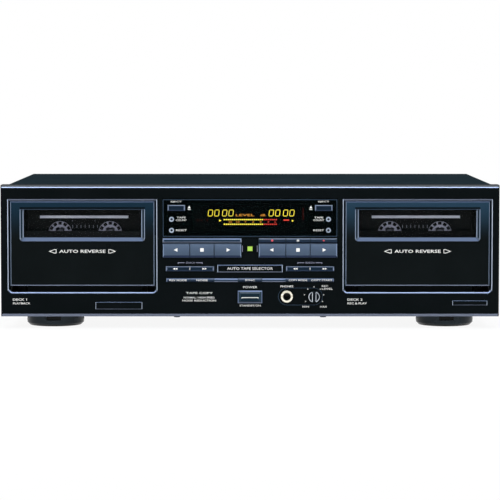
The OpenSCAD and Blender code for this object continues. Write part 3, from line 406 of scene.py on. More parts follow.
def socket_finish(name, x, z, half_pitch, bore, shell, flange, plate):
    """Black socket plates. The four line sockets round x and z have bores painted dark as painted shade,
    nickel shells, and white and red flanges on the plate, whose depth is given."""
    made, tree, shader = material(name, Specular_IOR_Level=0.3)
    part = axes(tree, coordinate(tree))
    rise = calc(tree, "SUBTRACT", part[2], frame_z(z))
    across = calc(tree, "ABSOLUTE", calc(tree, "SUBTRACT", part[0], x * MM))
    across = calc(tree, "SUBTRACT", across, half_pitch * MM)
    up = calc(tree, "SUBTRACT", calc(tree, "ABSOLUTE", rise), half_pitch * MM)
    radius = length(tree, node(tree, "ShaderNodeCombineXYZ", {0: across, 1: up}).outputs[0])
    outside = ranged(tree, part[1], frame_y(plate), frame_y(plate + PLATE_EDGE))
    ring = times(tree, outside, calc(tree, "LESS_THAN", radius, flange * MM))
    metal_part = times(tree, ring, calc(tree, "LESS_THAN", radius, shell * MM))
    bored = calc(tree, "LESS_THAN", radius, bore * MM)
    skin = placed(tree, GRAIN, Scale=FINE_GRAIN)
    black = mixed(tree, skin["Mottle"], srgb(14, 15, 16), srgb(22, 23, 24))
    white = mixed(tree, skin["Mottle"], srgb(190, 190, 186), srgb(214, 214, 210))
    red = mixed(tree, skin["Mottle"], srgb(150, 28, 30), srgb(176, 40, 42))
    nickel = mixed(tree, skin["Mottle"], srgb(176, 174, 168), srgb(204, 202, 196))
    colour = mixed(tree, ring, black, mixed(tree, calc(tree, "GREATER_THAN", rise, 0.0), red, white))
    colour = mixed(tree, metal_part, colour, nickel)
    colour = mixed(tree, bored, colour, srgb(10, 10, 11))
    feed(tree, shader, Base_Color=colour, Metallic=times(tree, metal_part, without(tree, bored)),
         Roughness=spread(tree, skin["Height"], 0.3, 0.5))
    return made


def foot_finish(name, x, y, inside):
    """Grey gloss of the four feet, painted black in their notches as painted shade; x and y are their
    distances from the middle.
    """
    made, tree, shader = material(name, Specular_IOR_Level=0.15)
    corner = absolute(tree, coordinate(tree))
    radius = length(tree, shifted(tree, corner, away=(-x * MM, -y * MM, 0), scale=(1, 1, 0)))
    skin = placed(tree, GRAIN, Scale=FINE_GRAIN)
    use = placed(tree, HANDLING, Amount=0.1)
    rim = mixed(tree, skin["Mottle"], srgb(36, 46, 52), srgb(48, 58, 64))
    on_rim = ranged(tree, radius, inside * MM, (inside + NOTCH_EDGE) * MM)
    colour = mixed(tree, on_rim, srgb(6, 10, 11), rim)
    feed(tree, shader, Base_Color=mixed(tree, use["Dust"], colour, DUST),
         Roughness=smudged(tree, use, 0.22, 0.34))
    return made


def clear(name, tint, low, high, rough, spec):
    """A clear or smoked window: its alpha, between low and high, and its gloss change with handling."""
    made, tree, shader = material(name, Base_Color=tint, Specular_IOR_Level=spec)
    use = placed(tree, HANDLING, Amount=0.1)
    feed(tree, shader, Alpha=smudged(tree, use, low, high),
         Roughness=smudged(tree, use, rough * 0.6, rough * 1.6))
    return made


def ink(name, pale, bright):
    """Printed or filled-in paint, a little uneven; also used for painted highlights."""
    made, tree, shader = material(name, Specular_IOR_Level=0.3)
    skin = placed(tree, GRAIN, Scale=2 * FINE_GRAIN)
    feed(tree, shader, Base_Color=mixed(tree, skin["Mottle"], pale, bright),
         Roughness=spread(tree, skin["Height"], 0.45, 0.65))
    return made


def glowing(name, deep, bright, strength):
    """A lit sign: glows a little unevenly, as phosphor does."""
    made, tree, shader = material(name, Base_Color=srgb(30, 28, 20), Emission_Strength=strength)
    skin = placed(tree, GRAIN, Scale=4200.0)
    feed(tree, shader, Emission_Color=mixed(tree, skin["Mottle"], deep, bright),
         Roughness=spread(tree, skin["Height"], 0.3, 0.5))
    return made


# Finishes of the case and the doors

PAINT_GRAIN = 1500.0
# Painted light on the panel: RIM paints bevels that look up and sideways bright, as painted highlights, and
# those that look down as a paler lip, a painted reflection of the floor. RIM_PAINTED_BANDS paints thin bright
# lines with painted shade between them along the rims, and the raised front faces of the rims are painted a
# lighter blue, as painted sheen. ends and after keep the painted bevel light off the panel's outer ends and
# off its top above z 109.1, which after also makes dull.
RIM = (srgb(180, 198, 236), srgb(196, 206, 222), srgb(112, 118, 134))
RIM_PAINTED_SHADE = srgb(16, 24, 30)
RIM_PAINTED_BANDS = [
    ("Up", RIM_PAINTED_SHADE, (-0.05, 0.0, 0.8, 1.2)),
    ("Side", RIM_PAINTED_SHADE, (0.6, 0.8, 2.4, 2.6)),
    ("Side", srgb(98, 112, 136), (-4.0, -3.5, -0.5, -0.3)),
    ("Up", srgb(70, 86, 110), (-0.7, -0.6, -0.2, -0.1)),
    ("Up", srgb(160, 176, 216), (-1.2, -1.0, -0.7, -0.6)),
    ("Up", srgb(54, 72, 92), (-4.0, -3.5, -1.2, -1.0)),
]
panel_black = moulding("panel_black", srgb(2, 7, 8), srgb(6, 11, 13), 0.42, edges=RIM, painted_bands=RIM_PAINTED_BANDS,
                       ends=(srgb(8, 14, 17), 209.1), raised=(srgb(34, 51, 68), -0.8),
                       after=[(srgb(14, 19, 24), 109.1, 109.7)], dust=0.1, spec=0.05)

# Painted light on the doors: their edge bevels are painted pale on all sides, as painted highlights, and
# DOOR_PAINTED_BANDS paints painted shade between two lines on their side bevels. DOOR_PAINTED_REFLECTION
# fades each door from z 64 to 98 into a teal tone, a painted reflection of the light above that is stronger
# on door 2, so each door has its own copy of the material.
DOOR_RIM = (srgb(86, 100, 126), srgb(132, 146, 166), srgb(122, 130, 148))
DOOR_PAINTED_BANDS = [("Side", srgb(22, 34, 44), (0.7, 1.0, 1.9, 2.2))]
DOOR_PAINTED_REFLECTION = {1: srgb(16, 38, 52), 2: srgb(31, 53, 69)}
door_black = {deck: moulding(f"door_black_{deck}", srgb(3, 8, 9), srgb(7, 13, 14), 0.32, edges=DOOR_RIM,
                             painted_bands=DOOR_PAINTED_BANDS, fade=[(DOOR_PAINTED_REFLECTION[deck], 64.0, 98.0)], spec=0.07)
              for deck in DECKS}

cover_paint = moulding("cover_paint", srgb(23, 32, 36), srgb(27, 36, 41), 0.9, grain=PAINT_GRAIN, bump=0.3,
                       dust=0.05, spec=0.0)
rear_paint = moulding("rear_paint", srgb(24, 27, 30), srgb(32, 36, 40), 0.6, grain=PAINT_GRAIN, bump=0.25)
foot_gloss = foot_finish("foot_gloss", x=167.0, y=92.5, inside=23.4)
gold_plate = plated_ring("gold_plate", PHONES_X, PHONES_Z, bore=3.3, body=3.1)
socket_black = socket_finish("socket_black", x=150.0, z=62.0, half_pitch=7.0, bore=1.7, shell=4.3, flange=5.7,
                             plate=REAR_FACE_D + 1.62)
door_lens = clear("door_lens", srgb(4, 8, 9), 0.12, 0.18, 0.06, spec=0.1)
display_lens = clear("display_lens", srgb(2, 7, 7), 0.60, 0.66, 0.12, spec=0.03)

# Finishes of the controls

# STRIP_RIM paints the bevels of the strip keys and the rockers light where they look up and sideways, as
# painted highlights, and dark where they look down, as painted shade. Their bands paint the middle of the
# upper bevels darker, as painted shade between two bright lines.
STRIP_RIM = (srgb(116, 128, 150), srgb(112, 124, 146), srgb(44, 56, 76))
# The keys' bevels are painted light where they look up and sideways, as painted highlights, and dark where
# they look down, as painted shade. From z 53 to 62 the keys fade to a lighter tone at the top, a painted
# highlight of the light above.
key_slate = moulding("key_slate", srgb(58, 72, 90), srgb(69, 83, 101), 0.5, bump=0.08,
                     edges=(srgb(112, 128, 156), srgb(120, 136, 162), srgb(34, 46, 70)),
                     fade=[(srgb(79, 93, 113), 53.0, 62.0)])
strip_slate = moulding("strip_slate", srgb(28, 41, 55), srgb(38, 51, 65), 0.45, edges=STRIP_RIM,
                       painted_bands=[("Up", srgb(44, 58, 76), (-1.8, -1.7, -1.1, -0.9))], bump=0.08, spec=0.06)
# The slim buttons' bevels are painted light above and at the sides, as painted highlights, and dark below, as
# painted shade.
slim_slate = moulding("slim_slate", srgb(34, 47, 62), srgb(44, 57, 72), 0.45, bump=0.08, spec=0.06,
                      edges=(srgb(84, 98, 124), srgb(100, 112, 136), srgb(24, 34, 50)))
rocker_slate = moulding("rocker_slate", srgb(14, 27, 39), srgb(20, 35, 49), 0.45, edges=STRIP_RIM,
                        painted_bands=[("Up", srgb(40, 54, 72), (-1.8, -1.7, -1.2, -1.0))], bump=0.08, spec=0.05)
# The round buttons are painted dark in their recessed middle, as painted shade.
round_slate = moulding("round_slate", srgb(150, 160, 178), srgb(176, 186, 202), 0.4, bump=0.08,
                       sunk=(srgb(12, 22, 26), -1.1, -0.8))
# The power button's bevels are painted light above and at the sides, as painted highlights, and dark below,
# as painted shade.
power_teal = moulding("power_teal", srgb(13, 30, 40), srgb(19, 38, 48), 0.35, bump=0.08, spec=0.06,
                      edges=(srgb(58, 78, 92), srgb(50, 70, 84), srgb(24, 40, 50)))
knob_black = moulding("knob_black", srgb(10, 15, 18), srgb(16, 22, 26), 0.35, dust=0.03, spec=0.04)

# Finishes of the cassettes and the mechanism

holder_black = moulding("holder_black", srgb(4, 8, 9), srgb(8, 13, 14), 0.6, bump=0.03, dust=0.04)
shell_smoke = moulding("shell_smoke", srgb(3, 8, 9), srgb(6, 11, 12), 0.4, bump=0.03, dust=0.04)
# The hubs are painted dark in their recessed cells, as painted shade.
hub_white = moulding("hub_white", srgb(164, 164, 184), srgb(188, 188, 206), 0.5, bump=0.06,
                     sunk=(srgb(18, 17, 17), 15.05, 15.35))
spindle_acetal = moulding("spindle_acetal", srgb(110, 112, 124), srgb(136, 138, 150), 0.5, bump=0.06)
belt_rubber = moulding("belt_rubber", srgb(14, 14, 15), srgb(22, 22, 23), 0.8)
board_green = moulding("board_green", srgb(26, 64, 40), srgb(36, 82, 50), 0.5)
zinc_sheet = metal("zinc_sheet", srgb(120, 122, 122), srgb(165, 168, 168), 0.42)
black_steel = metal("black_steel", srgb(30, 32, 35), srgb(48, 51, 55), 0.4)
turned_steel = metal("turned_steel", srgb(150, 151, 153), srgb(190, 191, 193), 0.28)
head_alloy = metal("head_alloy", srgb(150, 146, 134), srgb(186, 182, 168), 0.3)
core_steel = metal("core_steel", srgb(78, 79, 82), srgb(104, 105, 108), 0.5, lines=1800.0, bump=0.4)

FINISH = {
    "chassis": zinc_sheet, "top_cover": cover_paint, "rear_panel": rear_paint, "front_panel": panel_black,
    "display_window": display_lens, "circuit_boards": board_green, "power_transformer": core_steel,
    "feet": foot_gloss, "screws": black_steel, "phones_jack": gold_plate, "rear_sockets": socket_black,
    "mechanism_frames": black_steel, "capstan_motors": turned_steel, "drive_belts": belt_rubber,
    "door_1": door_black[1], "door_2": door_black[2], "power_button": power_teal, "level_knob": knob_black,
    "record_key": strip_slate, "pause_key": strip_slate, "mute_key": strip_slate,
    "rev_mode_button": slim_slate, "noise_button": slim_slate, "sync_button": slim_slate,
    "copy_mode_button": slim_slate, "copy_start_button": slim_slate,
}
PAIR_FINISH = {
    "door_window": door_lens, "cassette_holder": holder_black, "cassette": shell_smoke,
    "supply_hub": hub_white, "takeup_hub": hub_white, "supply_spindle": spindle_acetal,
    "takeup_spindle": spindle_acetal, "forward_flywheel": turned_steel, "reverse_flywheel": turned_steel,
    "head_plate": head_alloy, "eject_button": rocker_slate, "counter_button": round_slate,
    "reset_button": round_slate, "reverse_key": key_slate, "stop_key": key_slate, "play_key": key_slate,
    "search_rocker": rocker_slate,
}
for name, part in nodes.items():
    part.data.materials.clear()
    part.data.materials.append(FINISH.get(name) or PAIR_FINISH[name.rsplit("_", 1)[0]])


# Mesh helpers, in panel millimetres

WORD_BOLDER = 0.008


def turned(x, z, front, back):
    """Turns a shape from its own XY plane to face the front, with its middle between two depths."""
    return Matrix.Translation((x, (front + back) / 2, z)) @ Matrix.Rotation(math.radians(90), 4, "X")


def slab(bm, x, z, w, h, front, back, lean=0.0):
    """A flat bar; lean shifts its top to the right, in millimetres a millimetre."""
    shear = Matrix.Identity(4)
    shear[0][2] = lean
    size = Matrix.Diagonal((w, back - front, h, 1))
    place = Matrix.Translation((x, (front + back) / 2, z))
    bmesh.ops.create_cube(bm, size=1.0, matrix=place @ shear @ size)


def soft_slab(bm, x, z, w, h, front, back, bevel, segments):
    """A flat bar in an empty mesh, with bevelled front edges."""
    slab(bm, x, z, w, h, front, back)
    middle = (front + back) / 2
    edges = [e for e in bm.edges if all(v.co.y < middle for v in e.verts)]
    bmesh.ops.bevel(bm, geom=edges, offset=bevel, affect="EDGES", segments=segments, profile=0.5, material=-1)


def disc(bm, x, z, r, front, back, sides):
    bmesh.ops.create_cone(bm, cap_ends=True, segments=sides, radius1=r, radius2=r, depth=back - front,
                          matrix=turned(x, z, front, back))


def arrow(bm, x, z, w, h, way, front, back):
    """A filled triangle, w long and h wide; way is the turn from pointing right, in degrees."""
    size = Matrix.Diagonal((w / 1.5, h / math.sqrt(3), 1, 1))
    to_right = Matrix.Rotation(math.radians(-90), 4, "Z")
    shape = Matrix.Rotation(math.radians(way), 4, "Z") @ size @ to_right
    bmesh.ops.create_cone(bm, cap_ends=True, segments=3, radius1=1.0, radius2=1.0, depth=back - front,
                          matrix=turned(x, z, front, back) @ shape)


def thickened(bm, faces, front, back):
    """Gives flat faces at the back depth a body up to the front depth."""
    pushed = bmesh.ops.extrude_face_region(bm, geom=faces)["geom"]
    bmesh.ops.translate(bm, vec=(0, front - back, 0),
                        verts=[v for v in pushed if isinstance(v, bmesh.types.BMVert)])


def outline(bm, corners, line, front, back):
    """A closed line of even width inside a flat outline of x and z corners."""
    face = bm.faces.new([bm.verts.new((x, back, z)) for x, z in corners])
    bm.normal_update()
    inset = bmesh.ops.inset_region(bm, faces=[face], thickness=line, use_boundary=True, use_even_offset=True)
    bmesh.ops.delete(bm, geom=[face], context="FACES_ONLY")
    thickened(bm, inset["faces"], front, back)


def word_mesh(text):
    """A word as a flat mesh in its own XY plane, with its middle at the origin, and its width and height."""
    curve = bpy.data.curves.new("word", "FONT")
    curve.body = text
    curve.resolution_u = 2
    curve.offset = WORD_BOLDER
    holder = bpy.data.objects.new("word", curve)
    bpy.context.scene.collection.objects.link(holder)
    bpy.context.view_layer.update()
    flat = bpy.data.meshes.new_from_object(holder.evaluated_get(bpy.context.evaluated_depsgraph_get()))
    bpy.data.objects.remove(holder)
    xs = [v.co.x for v in flat.vertices]
    ys = [v.co.y for v in flat.vertices]
    flat.transform(Matrix.Translation((-(min(xs) + max(xs)) / 2, -(min(ys) + max(ys)) / 2, 0)))
    return flat, max(xs) - min(xs), max(ys) - min(ys)


def words(bm, text, x, z, height, width, front, back, rear=False):
    """A short generic word, fitted into a height and a width; one on the rear faces backwards."""
    flat, own_width, own_height = word_mesh(text)
    fit = Matrix.Diagonal((width / own_width, height / own_height, 1, 1))
    facing = Matrix.Rotation(math.pi if rear else 0, 4, "Z")
    flat.transform(Matrix.Translation((x, back, z)) @ facing @ turned(0, 0, 0, 0) @ fit)
    before = set(bm.faces)
    bm.from_mesh(flat)
    bpy.data.meshes.remove(flat)
    thickened(bm, [f for f in bm.faces if f not in before], front, back)


def finished(name, bm, body, finish):
    """Makes the shape a piece of the deck that rides on a body."""
    bmesh.ops.recalc_face_normals(bm, faces=bm.faces)
    bmesh.ops.transform(bm, matrix=TO_FRAME, verts=bm.verts)
    mesh = bpy.data.meshes.new(name)
    bm.to_mesh(mesh)
    bm.free()
    mesh.materials.append(finish)
    made = bpy.data.objects.new(name, mesh)
    bpy.context.scene.collection.objects.link(made)
    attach(made, body)


def printed_on(face):
    """The front and back depths of print on a face at a depth."""
    return face - PRINT_T, face


# Inks and trims

print_white = ink("print_white", srgb(224, 220, 214), srgb(246, 242, 236))
# Dim lines: the display's border, and the painted highlights on the edge of the recess and at the top of the
# door windows.
dim_lines = ink("dim_lines", srgb(44, 62, 80), srgb(58, 78, 98))
print_red = ink("print_red", srgb(190, 60, 70), srgb(222, 92, 98))
# A pale finish for the painted highlights on the knob's rim and on the edges of its grip.
knob_painted_highlight = ink("knob_painted_highlight", srgb(204, 209, 218), srgb(236, 239, 244))
label_pale = ink("label_pale", srgb(120, 121, 138), srgb(158, 158, 180))
strip_pale = ink("strip_pale", srgb(218, 218, 236), srgb(244, 244, 254))
hub_mark = ink("hub_mark", srgb(120, 122, 134), srgb(150, 152, 164))
# A near-black finish for the painted shadow over the door windows.
painted_shadow_black = moulding("painted_shadow_black", srgb(2, 6, 7), srgb(5, 9, 10), 0.7, bump=0.02, dust=0.02, spec=0.02)

# Marks on the panel and the rear: each word with its x, z, height and width

PANEL_WORDS = (
    ("DECK 1", -194.1, 14.4, 1.9, 11.8), ("PLAYBACK", -192.6, 11.2, 1.7, 14.6),
    ("DECK 2", 88.5, 14.4, 1.9, 12.6), ("REC & PLAY", 90.4, 11.2, 1.7, 16.4),
    ("TAPE COPY", -42.7, 20.0, 1.6, 22.6), ("NORMAL / HIGH SPEED", -42.9, 16.1, 1.5, 26.0),
    ("NOISE REDUCTION", -42.9, 13.6, 1.5, 28.4),
    ("POWER", 0.2, 24.9, 1.8, 12.0), ("STANDBY/ON", 0.1, 9.4, 1.6, 17.6),
    ("PHONES", PHONES_X, 25.6, 1.7, 10.8), ("REC", 63.1, 25.8, 1.5, 5.2), ("LEVEL", 65.2, 23.5, 1.5, 9.2),
    ("MIN", 47.0, 8.4, 1.5, 5.4), ("MAX", 62.0, 8.4, 1.5, 5.8),
)
PLATE_WORDS = ("AUTO TAPE SELECTOR", 0.0, 40.7, 2.2, 38.6)
KNOB_DOTS = 7
DOT_TURN = 40
DOT_RING_R = 8.2
DOT_R = 0.42
FINE_LINE = 0.5
SEARCH_WORD_X, SEARCH_WORD_Z, SEARCH_WORD_H, SEARCH_WORD_W = 50.4, 45.6, 1.4, 7.6
SEARCH_ARM, SEARCH_ARM_X = 5.6, 7.6
SEARCH_HOOK, SEARCH_HOOK_X, SEARCH_HOOK_Z = 0.7, 10.15, 45.0
LAMP_LINES_X = (-6.4, 6.1)
LAMP_LINES_Z, LAMP_LINES_H = 57.4, 5.4
REAR_WORDS = (
    ("IN", 157, 81, 2.4, 4), ("OUT", 143, 81, 2.4, 7), ("LINE", 150, 86, 2.4, 9),
    ("AC IN", -160, 54.6, 2.4, 11), ("L", 175, 69, 2.6, 1.6), ("R", 175, 55, 2.6, 1.8),
)


def panel_marks():
    """The words on the panel, and the dots round the knob."""
    front, back = printed_on(0.0)
    bm = bmesh.new()
    for text, x, z, height, width in PANEL_WORDS:
        words(bm, text, x, z, height, width, front, back)
    words(bm, *PLATE_WORDS, *printed_on(PLATE_FACE_D))
    for step in range(KNOB_DOTS):
        turn = math.radians((step - (KNOB_DOTS - 1) / 2) * DOT_TURN)
        x, z = KNOB_X + DOT_RING_R * math.sin(turn), KNOB_Z + DOT_RING_R * math.cos(turn)
        disc(bm, x, z, DOT_R, front, back, sides=12)
    finished("panel_marks", bm, "deck", print_white)


def panel_lines():
    """The word and the bracket over each search rocker, and the lines beside the lamp."""
    front, back = printed_on(0.0)
    bm = bmesh.new()
    for side in (-1, 1):
        x = side * SEARCH_WORD_X
        words(bm, "SEARCH", x, SEARCH_WORD_Z, SEARCH_WORD_H, SEARCH_WORD_W, front, back)
        for end in (-1, 1):
            slab(bm, x + end * SEARCH_ARM_X, SEARCH_WORD_Z, SEARCH_ARM, FINE_LINE, front, back)
            slab(bm, x + end * SEARCH_HOOK_X, SEARCH_HOOK_Z, FINE_LINE, SEARCH_HOOK, front, back)
    for x in LAMP_LINES_X:
        slab(bm, x, LAMP_LINES_Z, FINE_LINE, LAMP_LINES_H, front, back)
    finished("panel_lines", bm, "deck", label_pale)


def rear_marks():
    """The words by the sockets."""
    bm = bmesh.new()
    for text, x, z, height, width in REAR_WORDS:
        words(bm, text, x, z, height, width, REAR_FACE_D + PRINT_T, REAR_FACE_D, rear=True)
    finished("rear_marks", bm, "deck", print_white)


# Marks on the display window: the words of each side, and the border round all

DISPLAY_WORDS = (
    ("EJECT", 62.0, 97.0, 1.5, 9.2), ("TAPE", 57.9, 83.7, 1.4, 7.4), ("COUNT", 57.9, 81.5, 1.4, 9.2),
    ("RESET", 57.8, 73.0, 1.5, 9.0),
)
EJECT_X, EJECT_ARROW_Z, EJECT_BAR_Z = 51.2, 92.2, 90.5
EJECT_ARROW_L, EJECT_W = 2.2, 2.4
BORDER_W, BORDER_H, BORDER_Z, BORDER_LINE = 146.6, 31.2, 83.3, 0.35


def display_marks():
    front, back = printed_on(0.0)
    bm = bmesh.new()
    for side in (-1, 1):
        arrow(bm, side * EJECT_X, EJECT_ARROW_Z, EJECT_ARROW_L, EJECT_W, 90, front, back)
        slab(bm, side * EJECT_X, EJECT_BAR_Z, EJECT_W, FINE_LINE, front, back)
        for text, x, z, height, width in DISPLAY_WORDS:
            words(bm, text, side * x, z, height, width, front, back)
    finished("display_marks", bm, "deck", print_white)


def display_border():
    bm = bmesh.new()
    left, right = -BORDER_W / 2, BORDER_W / 2
    low, high = BORDER_Z - BORDER_H / 2, BORDER_Z + BORDER_H / 2
    outline(bm, [(left, low), (right, low), (right, high), (left, high)], BORDER_LINE, *printed_on(0.0))
    finished("display_border", bm, "deck", dim_lines)


# The line on the power button, and the painted highlights of the knob and the recess

POWER_LINE_W, POWER_LINE_H, POWER_LINE_Z = 14.2, 0.6, 16.3
POWER_HOOK, POWER_HOOK_X, POWER_HOOK_Z = 0.5, 6.85, 15.75
KNOB_RING = ((4.15, -4.0), (4.28, -4.2), (4.5, -4.2), (4.68, -4.0))
KNOB_RING_STEPS = 40
GRIP_LINE_X, GRIP_LINE_W, GRIP_LINE_H = 1.5, 0.35, 8.0
RECESS_R = 7.3
RECESS_LINE = 0.22
RECESS_STEPS = 12


def power_line():
    """The bright line in the power button, with its two hooks."""
    front, back = printed_on(POWER_FACE_D)
    bm = bmesh.new()
    slab(bm, 0, POWER_LINE_Z, POWER_LINE_W, POWER_LINE_H, front, back)
    for end in (-1, 1):
        slab(bm, end * POWER_HOOK_X, POWER_HOOK_Z, POWER_HOOK, POWER_HOOK, front, back)
    finished("power_line", bm, "power_button", print_white)


def knob_trim():
    """The pale ring on the knob's rim, turned from its section of radius and depth, and the lines on the
    edges of its grip: painted highlights.
    """
    bm = bmesh.new()
    section = [bm.verts.new((r, d, 0)) for r, d in KNOB_RING]
    profile = [bm.edges.new(pair) for pair in zip(section, section[1:] + section[:1])]
    bmesh.ops.spin(bm, geom=section + profile, cent=(0, 0, 0), axis=(0, 1, 0), angle=math.tau,
                   steps=KNOB_RING_STEPS, use_merge=True)
    bmesh.ops.translate(bm, vec=(KNOB_X, 0, KNOB_Z), verts=bm.verts)
    for side in (-1, 1):
        slab(bm, KNOB_X + side * GRIP_LINE_X, KNOB_Z, GRIP_LINE_W, GRIP_LINE_H, *printed_on(GRIP_FACE_D))
    finished("knob_trim", bm, "level_knob", knob_painted_highlight)


def recess_line():
    """The dim line round the edge of the recess that holds the socket and the knob, a painted highlight of
    that edge.
    """
    bm = bmesh.new()
    turns = [math.pi / 2 + math.pi * step / RECESS_STEPS for step in range(RECESS_STEPS + 1)]
    corners = [(PHONES_X + RECESS_R * math.cos(t), PHONES_Z + RECESS_R * math.sin(t)) for t in turns]
    corners += [(KNOB_X - RECESS_R * math.cos(t), KNOB_Z - RECESS_R * math.sin(t)) for t in turns]
    outline(bm, corners, RECESS_LINE, *printed_on(0.0))
    finished("recess_line", bm, "deck", dim_lines)


# Signs and words on the controls, each on the body of its control

KEY_SIGN = 3.0
STOP_SIGN = 2.9
KEY_SIGN_Z = 56.6
SEARCH_SIGN_X, SEARCH_SIGN_Z = 12.1, 40.6
SEARCH_STEP = 0.95
SEARCH_ARROW_L, SEARCH_ARROW_W = 1.8, 1.7
SEARCH_BAR_W, SEARCH_BAR_H = 0.4, 2.2
RECORD_R, MUTE_R = 0.95, 0.8
PAUSE_STEP, PAUSE_W, PAUSE_H = 0.6, 0.7, 1.7
SLIM_WORD_H = 1.5
SLIM_WORDS = (
    ("rev_mode_button", "REV MODE", 0.0, 14.6), ("noise_button", "NOISE", 0.0, 9.6),
    ("sync_button", "SYNC", 0.0, 8.2), ("copy_mode_button", "COPY MODE", 0.0, 15.6),
    ("copy_start_button", "COPY START", -0.2, 17.6),
)


def key_signs(deck):
    """Left, right and stop on the large keys of a deck."""
    front, back = printed_on(KEY_FACE_D)
    for key, step, turn in (("reverse_key", -1, 180), ("play_key", 1, 0)):
        bm = bmesh.new()
        arrow(bm, STOP_KEY_X[deck] + step * KEY_PITCH, KEY_SIGN_Z, KEY_SIGN, KEY_SIGN, turn, front, back)
        finished(f"{key}_sign_{deck}", bm, f"{key}_{deck}", print_white)
    bm = bmesh.new()
    slab(bm, STOP_KEY_X[deck], KEY_SIGN_Z, STOP_SIGN, STOP_SIGN, front, back)
    finished(f"stop_key_sign_{deck}", bm, f"stop_key_{deck}", print_white)


def search_signs(deck):
    """A double arrow at each end of a rocker, and the bar in its middle."""
    front, back = printed_on(ROCKER_FACE_D)
    bm = bmesh.new()
    for turn, end in ((180, -1), (0, 1)):
        for side in (-1, 1):
            x = ROCKER_X[deck] + end * SEARCH_SIGN_X + side * SEARCH_STEP
            arrow(bm, x, SEARCH_SIGN_Z, SEARCH_ARROW_L, SEARCH_ARROW_W, turn, front, back)
    slab(bm, ROCKER_X[deck], SEARCH_SIGN_Z, SEARCH_BAR_W, SEARCH_BAR_H, front, back)
    finished(f"search_signs_{deck}", bm, f"search_rocker_{deck}", print_white)


def strip_key_signs():
    """Record, pause and mute over the keys of deck 2."""
    front, back = printed_on(STRIP_KEY_FACE_D)
    middle = STOP_KEY_X[2]
    bm = bmesh.new()
    disc(bm, middle - KEY_PITCH, STRIP_KEY_Z, RECORD_R, front, back, sides=20)
    finished("record_sign", bm, "record_key", print_red)
    bm = bmesh.new()
    for side in (-1, 1):
        slab(bm, middle + side * PAUSE_STEP, STRIP_KEY_Z, PAUSE_W, PAUSE_H, front, back)
    finished("pause_sign", bm, "pause_key", print_white)
    bm = bmesh.new()
    disc(bm, middle + KEY_PITCH, STRIP_KEY_Z, MUTE_R, front, back, sides=20)
    finished("mute_sign", bm, "mute_key", print_red)


def slim_button_words():
    """The words on the slim buttons, each with its shift from the button's middle and its width."""
    for button, text, shift, width in SLIM_WORDS:
        x, z = middle_of(button)
        bm = bmesh.new()
        words(bm, text, x + shift, z, SLIM_WORD_H, width, *printed_on(depths_of(button)[0]))
        finished(f"{button}_word", bm, button, print_white)


# Marks on the doors and the cassettes

DOOR_WORDS_Z, DOOR_WORDS_H, DOOR_WORDS_W = 55.2, 2.6, 39.0
DOOR_ARROW_X = 25.1
DOOR_ARROW = ((-3.2, -1.7), (-1.4, -1.7), (3.2, 0.0), (-1.4, 1.7), (-3.2, 1.7))
DOOR_ARROW_LINE = 0.45
STRIP_W, STRIP_H, STRIP_T = 74.8, 2.3, 0.3
STRIP_Z, STRIP_SHIFT = 83.6, 0.8
TICKS, TICK_PITCH, TICK_W, TICK_H, TICK_Z = 7, 3.5, 0.45, 2.6, 75.4
SHELL_DOTS_X, SHELL_DOT_Z, SHELL_DOT_R = (-10.8, 8.4), 80.2, 0.45


def door_marks(deck):
    """The words on a door between their two outlined arrows."""
    front, back = printed_on(DOOR_FACE_D)
    bm = bmesh.new()
    for way in (-1, 1):
        x = DOOR_X[deck] + way * DOOR_ARROW_X
        corners = [(x + way * across, DOOR_WORDS_Z + up) for across, up in DOOR_ARROW]
        outline(bm, corners, DOOR_ARROW_LINE, front, back)
    words(bm, "AUTO REVERSE", DOOR_X[deck], DOOR_WORDS_Z, DOOR_WORDS_H, DOOR_WORDS_W, front, back)
    finished(f"door_marks_{deck}", bm, f"door_{deck}", print_white)


def window_band(deck):
    """The black band over a door's window, a painted shadow along the window's upper edge, with a thin dim
    line, a painted highlight of that edge.
    """
    front, back = printed_on(DOOR_FACE_D)
    for name, z, height, finish in (("shade", 1.0, 1.5, painted_shadow_black), ("line", 0.1, 0.3, dim_lines)):
        bm = bmesh.new()
        slab(bm, DOOR_X[deck], WINDOW_TOP + z, WINDOW_W, height, front, back)
        finished(f"window_{name}_{deck}", bm, f"door_{deck}", finish)


def cassette_strip(deck):
    """The pale strip on the cassette behind a door's window."""
    bm = bmesh.new()
    soft_slab(bm, CASSETTE_X[deck] + SIDE[deck] * STRIP_SHIFT, STRIP_Z, STRIP_W, STRIP_H,
              CASSETTE_FACE_D - STRIP_T, CASSETTE_FACE_D, bevel=STRIP_T / 2, segments=1)
    finished(f"cassette_strip_{deck}", bm, f"door_{deck}", strip_pale)


def cassette_ticks(deck):
    """The row of ticks on a cassette; the first cassette has two dots as well."""
    front, back = printed_on(CASSETTE_FACE_D)
    bm = bmesh.new()
    for step in range(TICKS):
        x = CASSETTE_X[deck] + (step - (TICKS - 1) / 2) * TICK_PITCH
        slab(bm, x, TICK_Z, TICK_W, TICK_H, front, back)
    if deck == 1:
        for x in SHELL_DOTS_X:
            disc(bm, CASSETTE_X[deck] + x, SHELL_DOT_Z, SHELL_DOT_R, front, back, sides=12)
    finished(f"cassette_ticks_{deck}", bm, f"door_{deck}", hub_mark)


panel_marks()
panel_lines()
rear_marks()
display_marks()
display_border()
power_line()
knob_trim()
recess_line()
for deck in DECKS:
    key_signs(deck)
    search_signs(deck)
strip_key_signs()
slim_button_words()
for deck in DECKS:
    door_marks(deck)
    window_band(deck)
    cassette_strip(deck)
    cassette_ticks(deck)


# Lit display

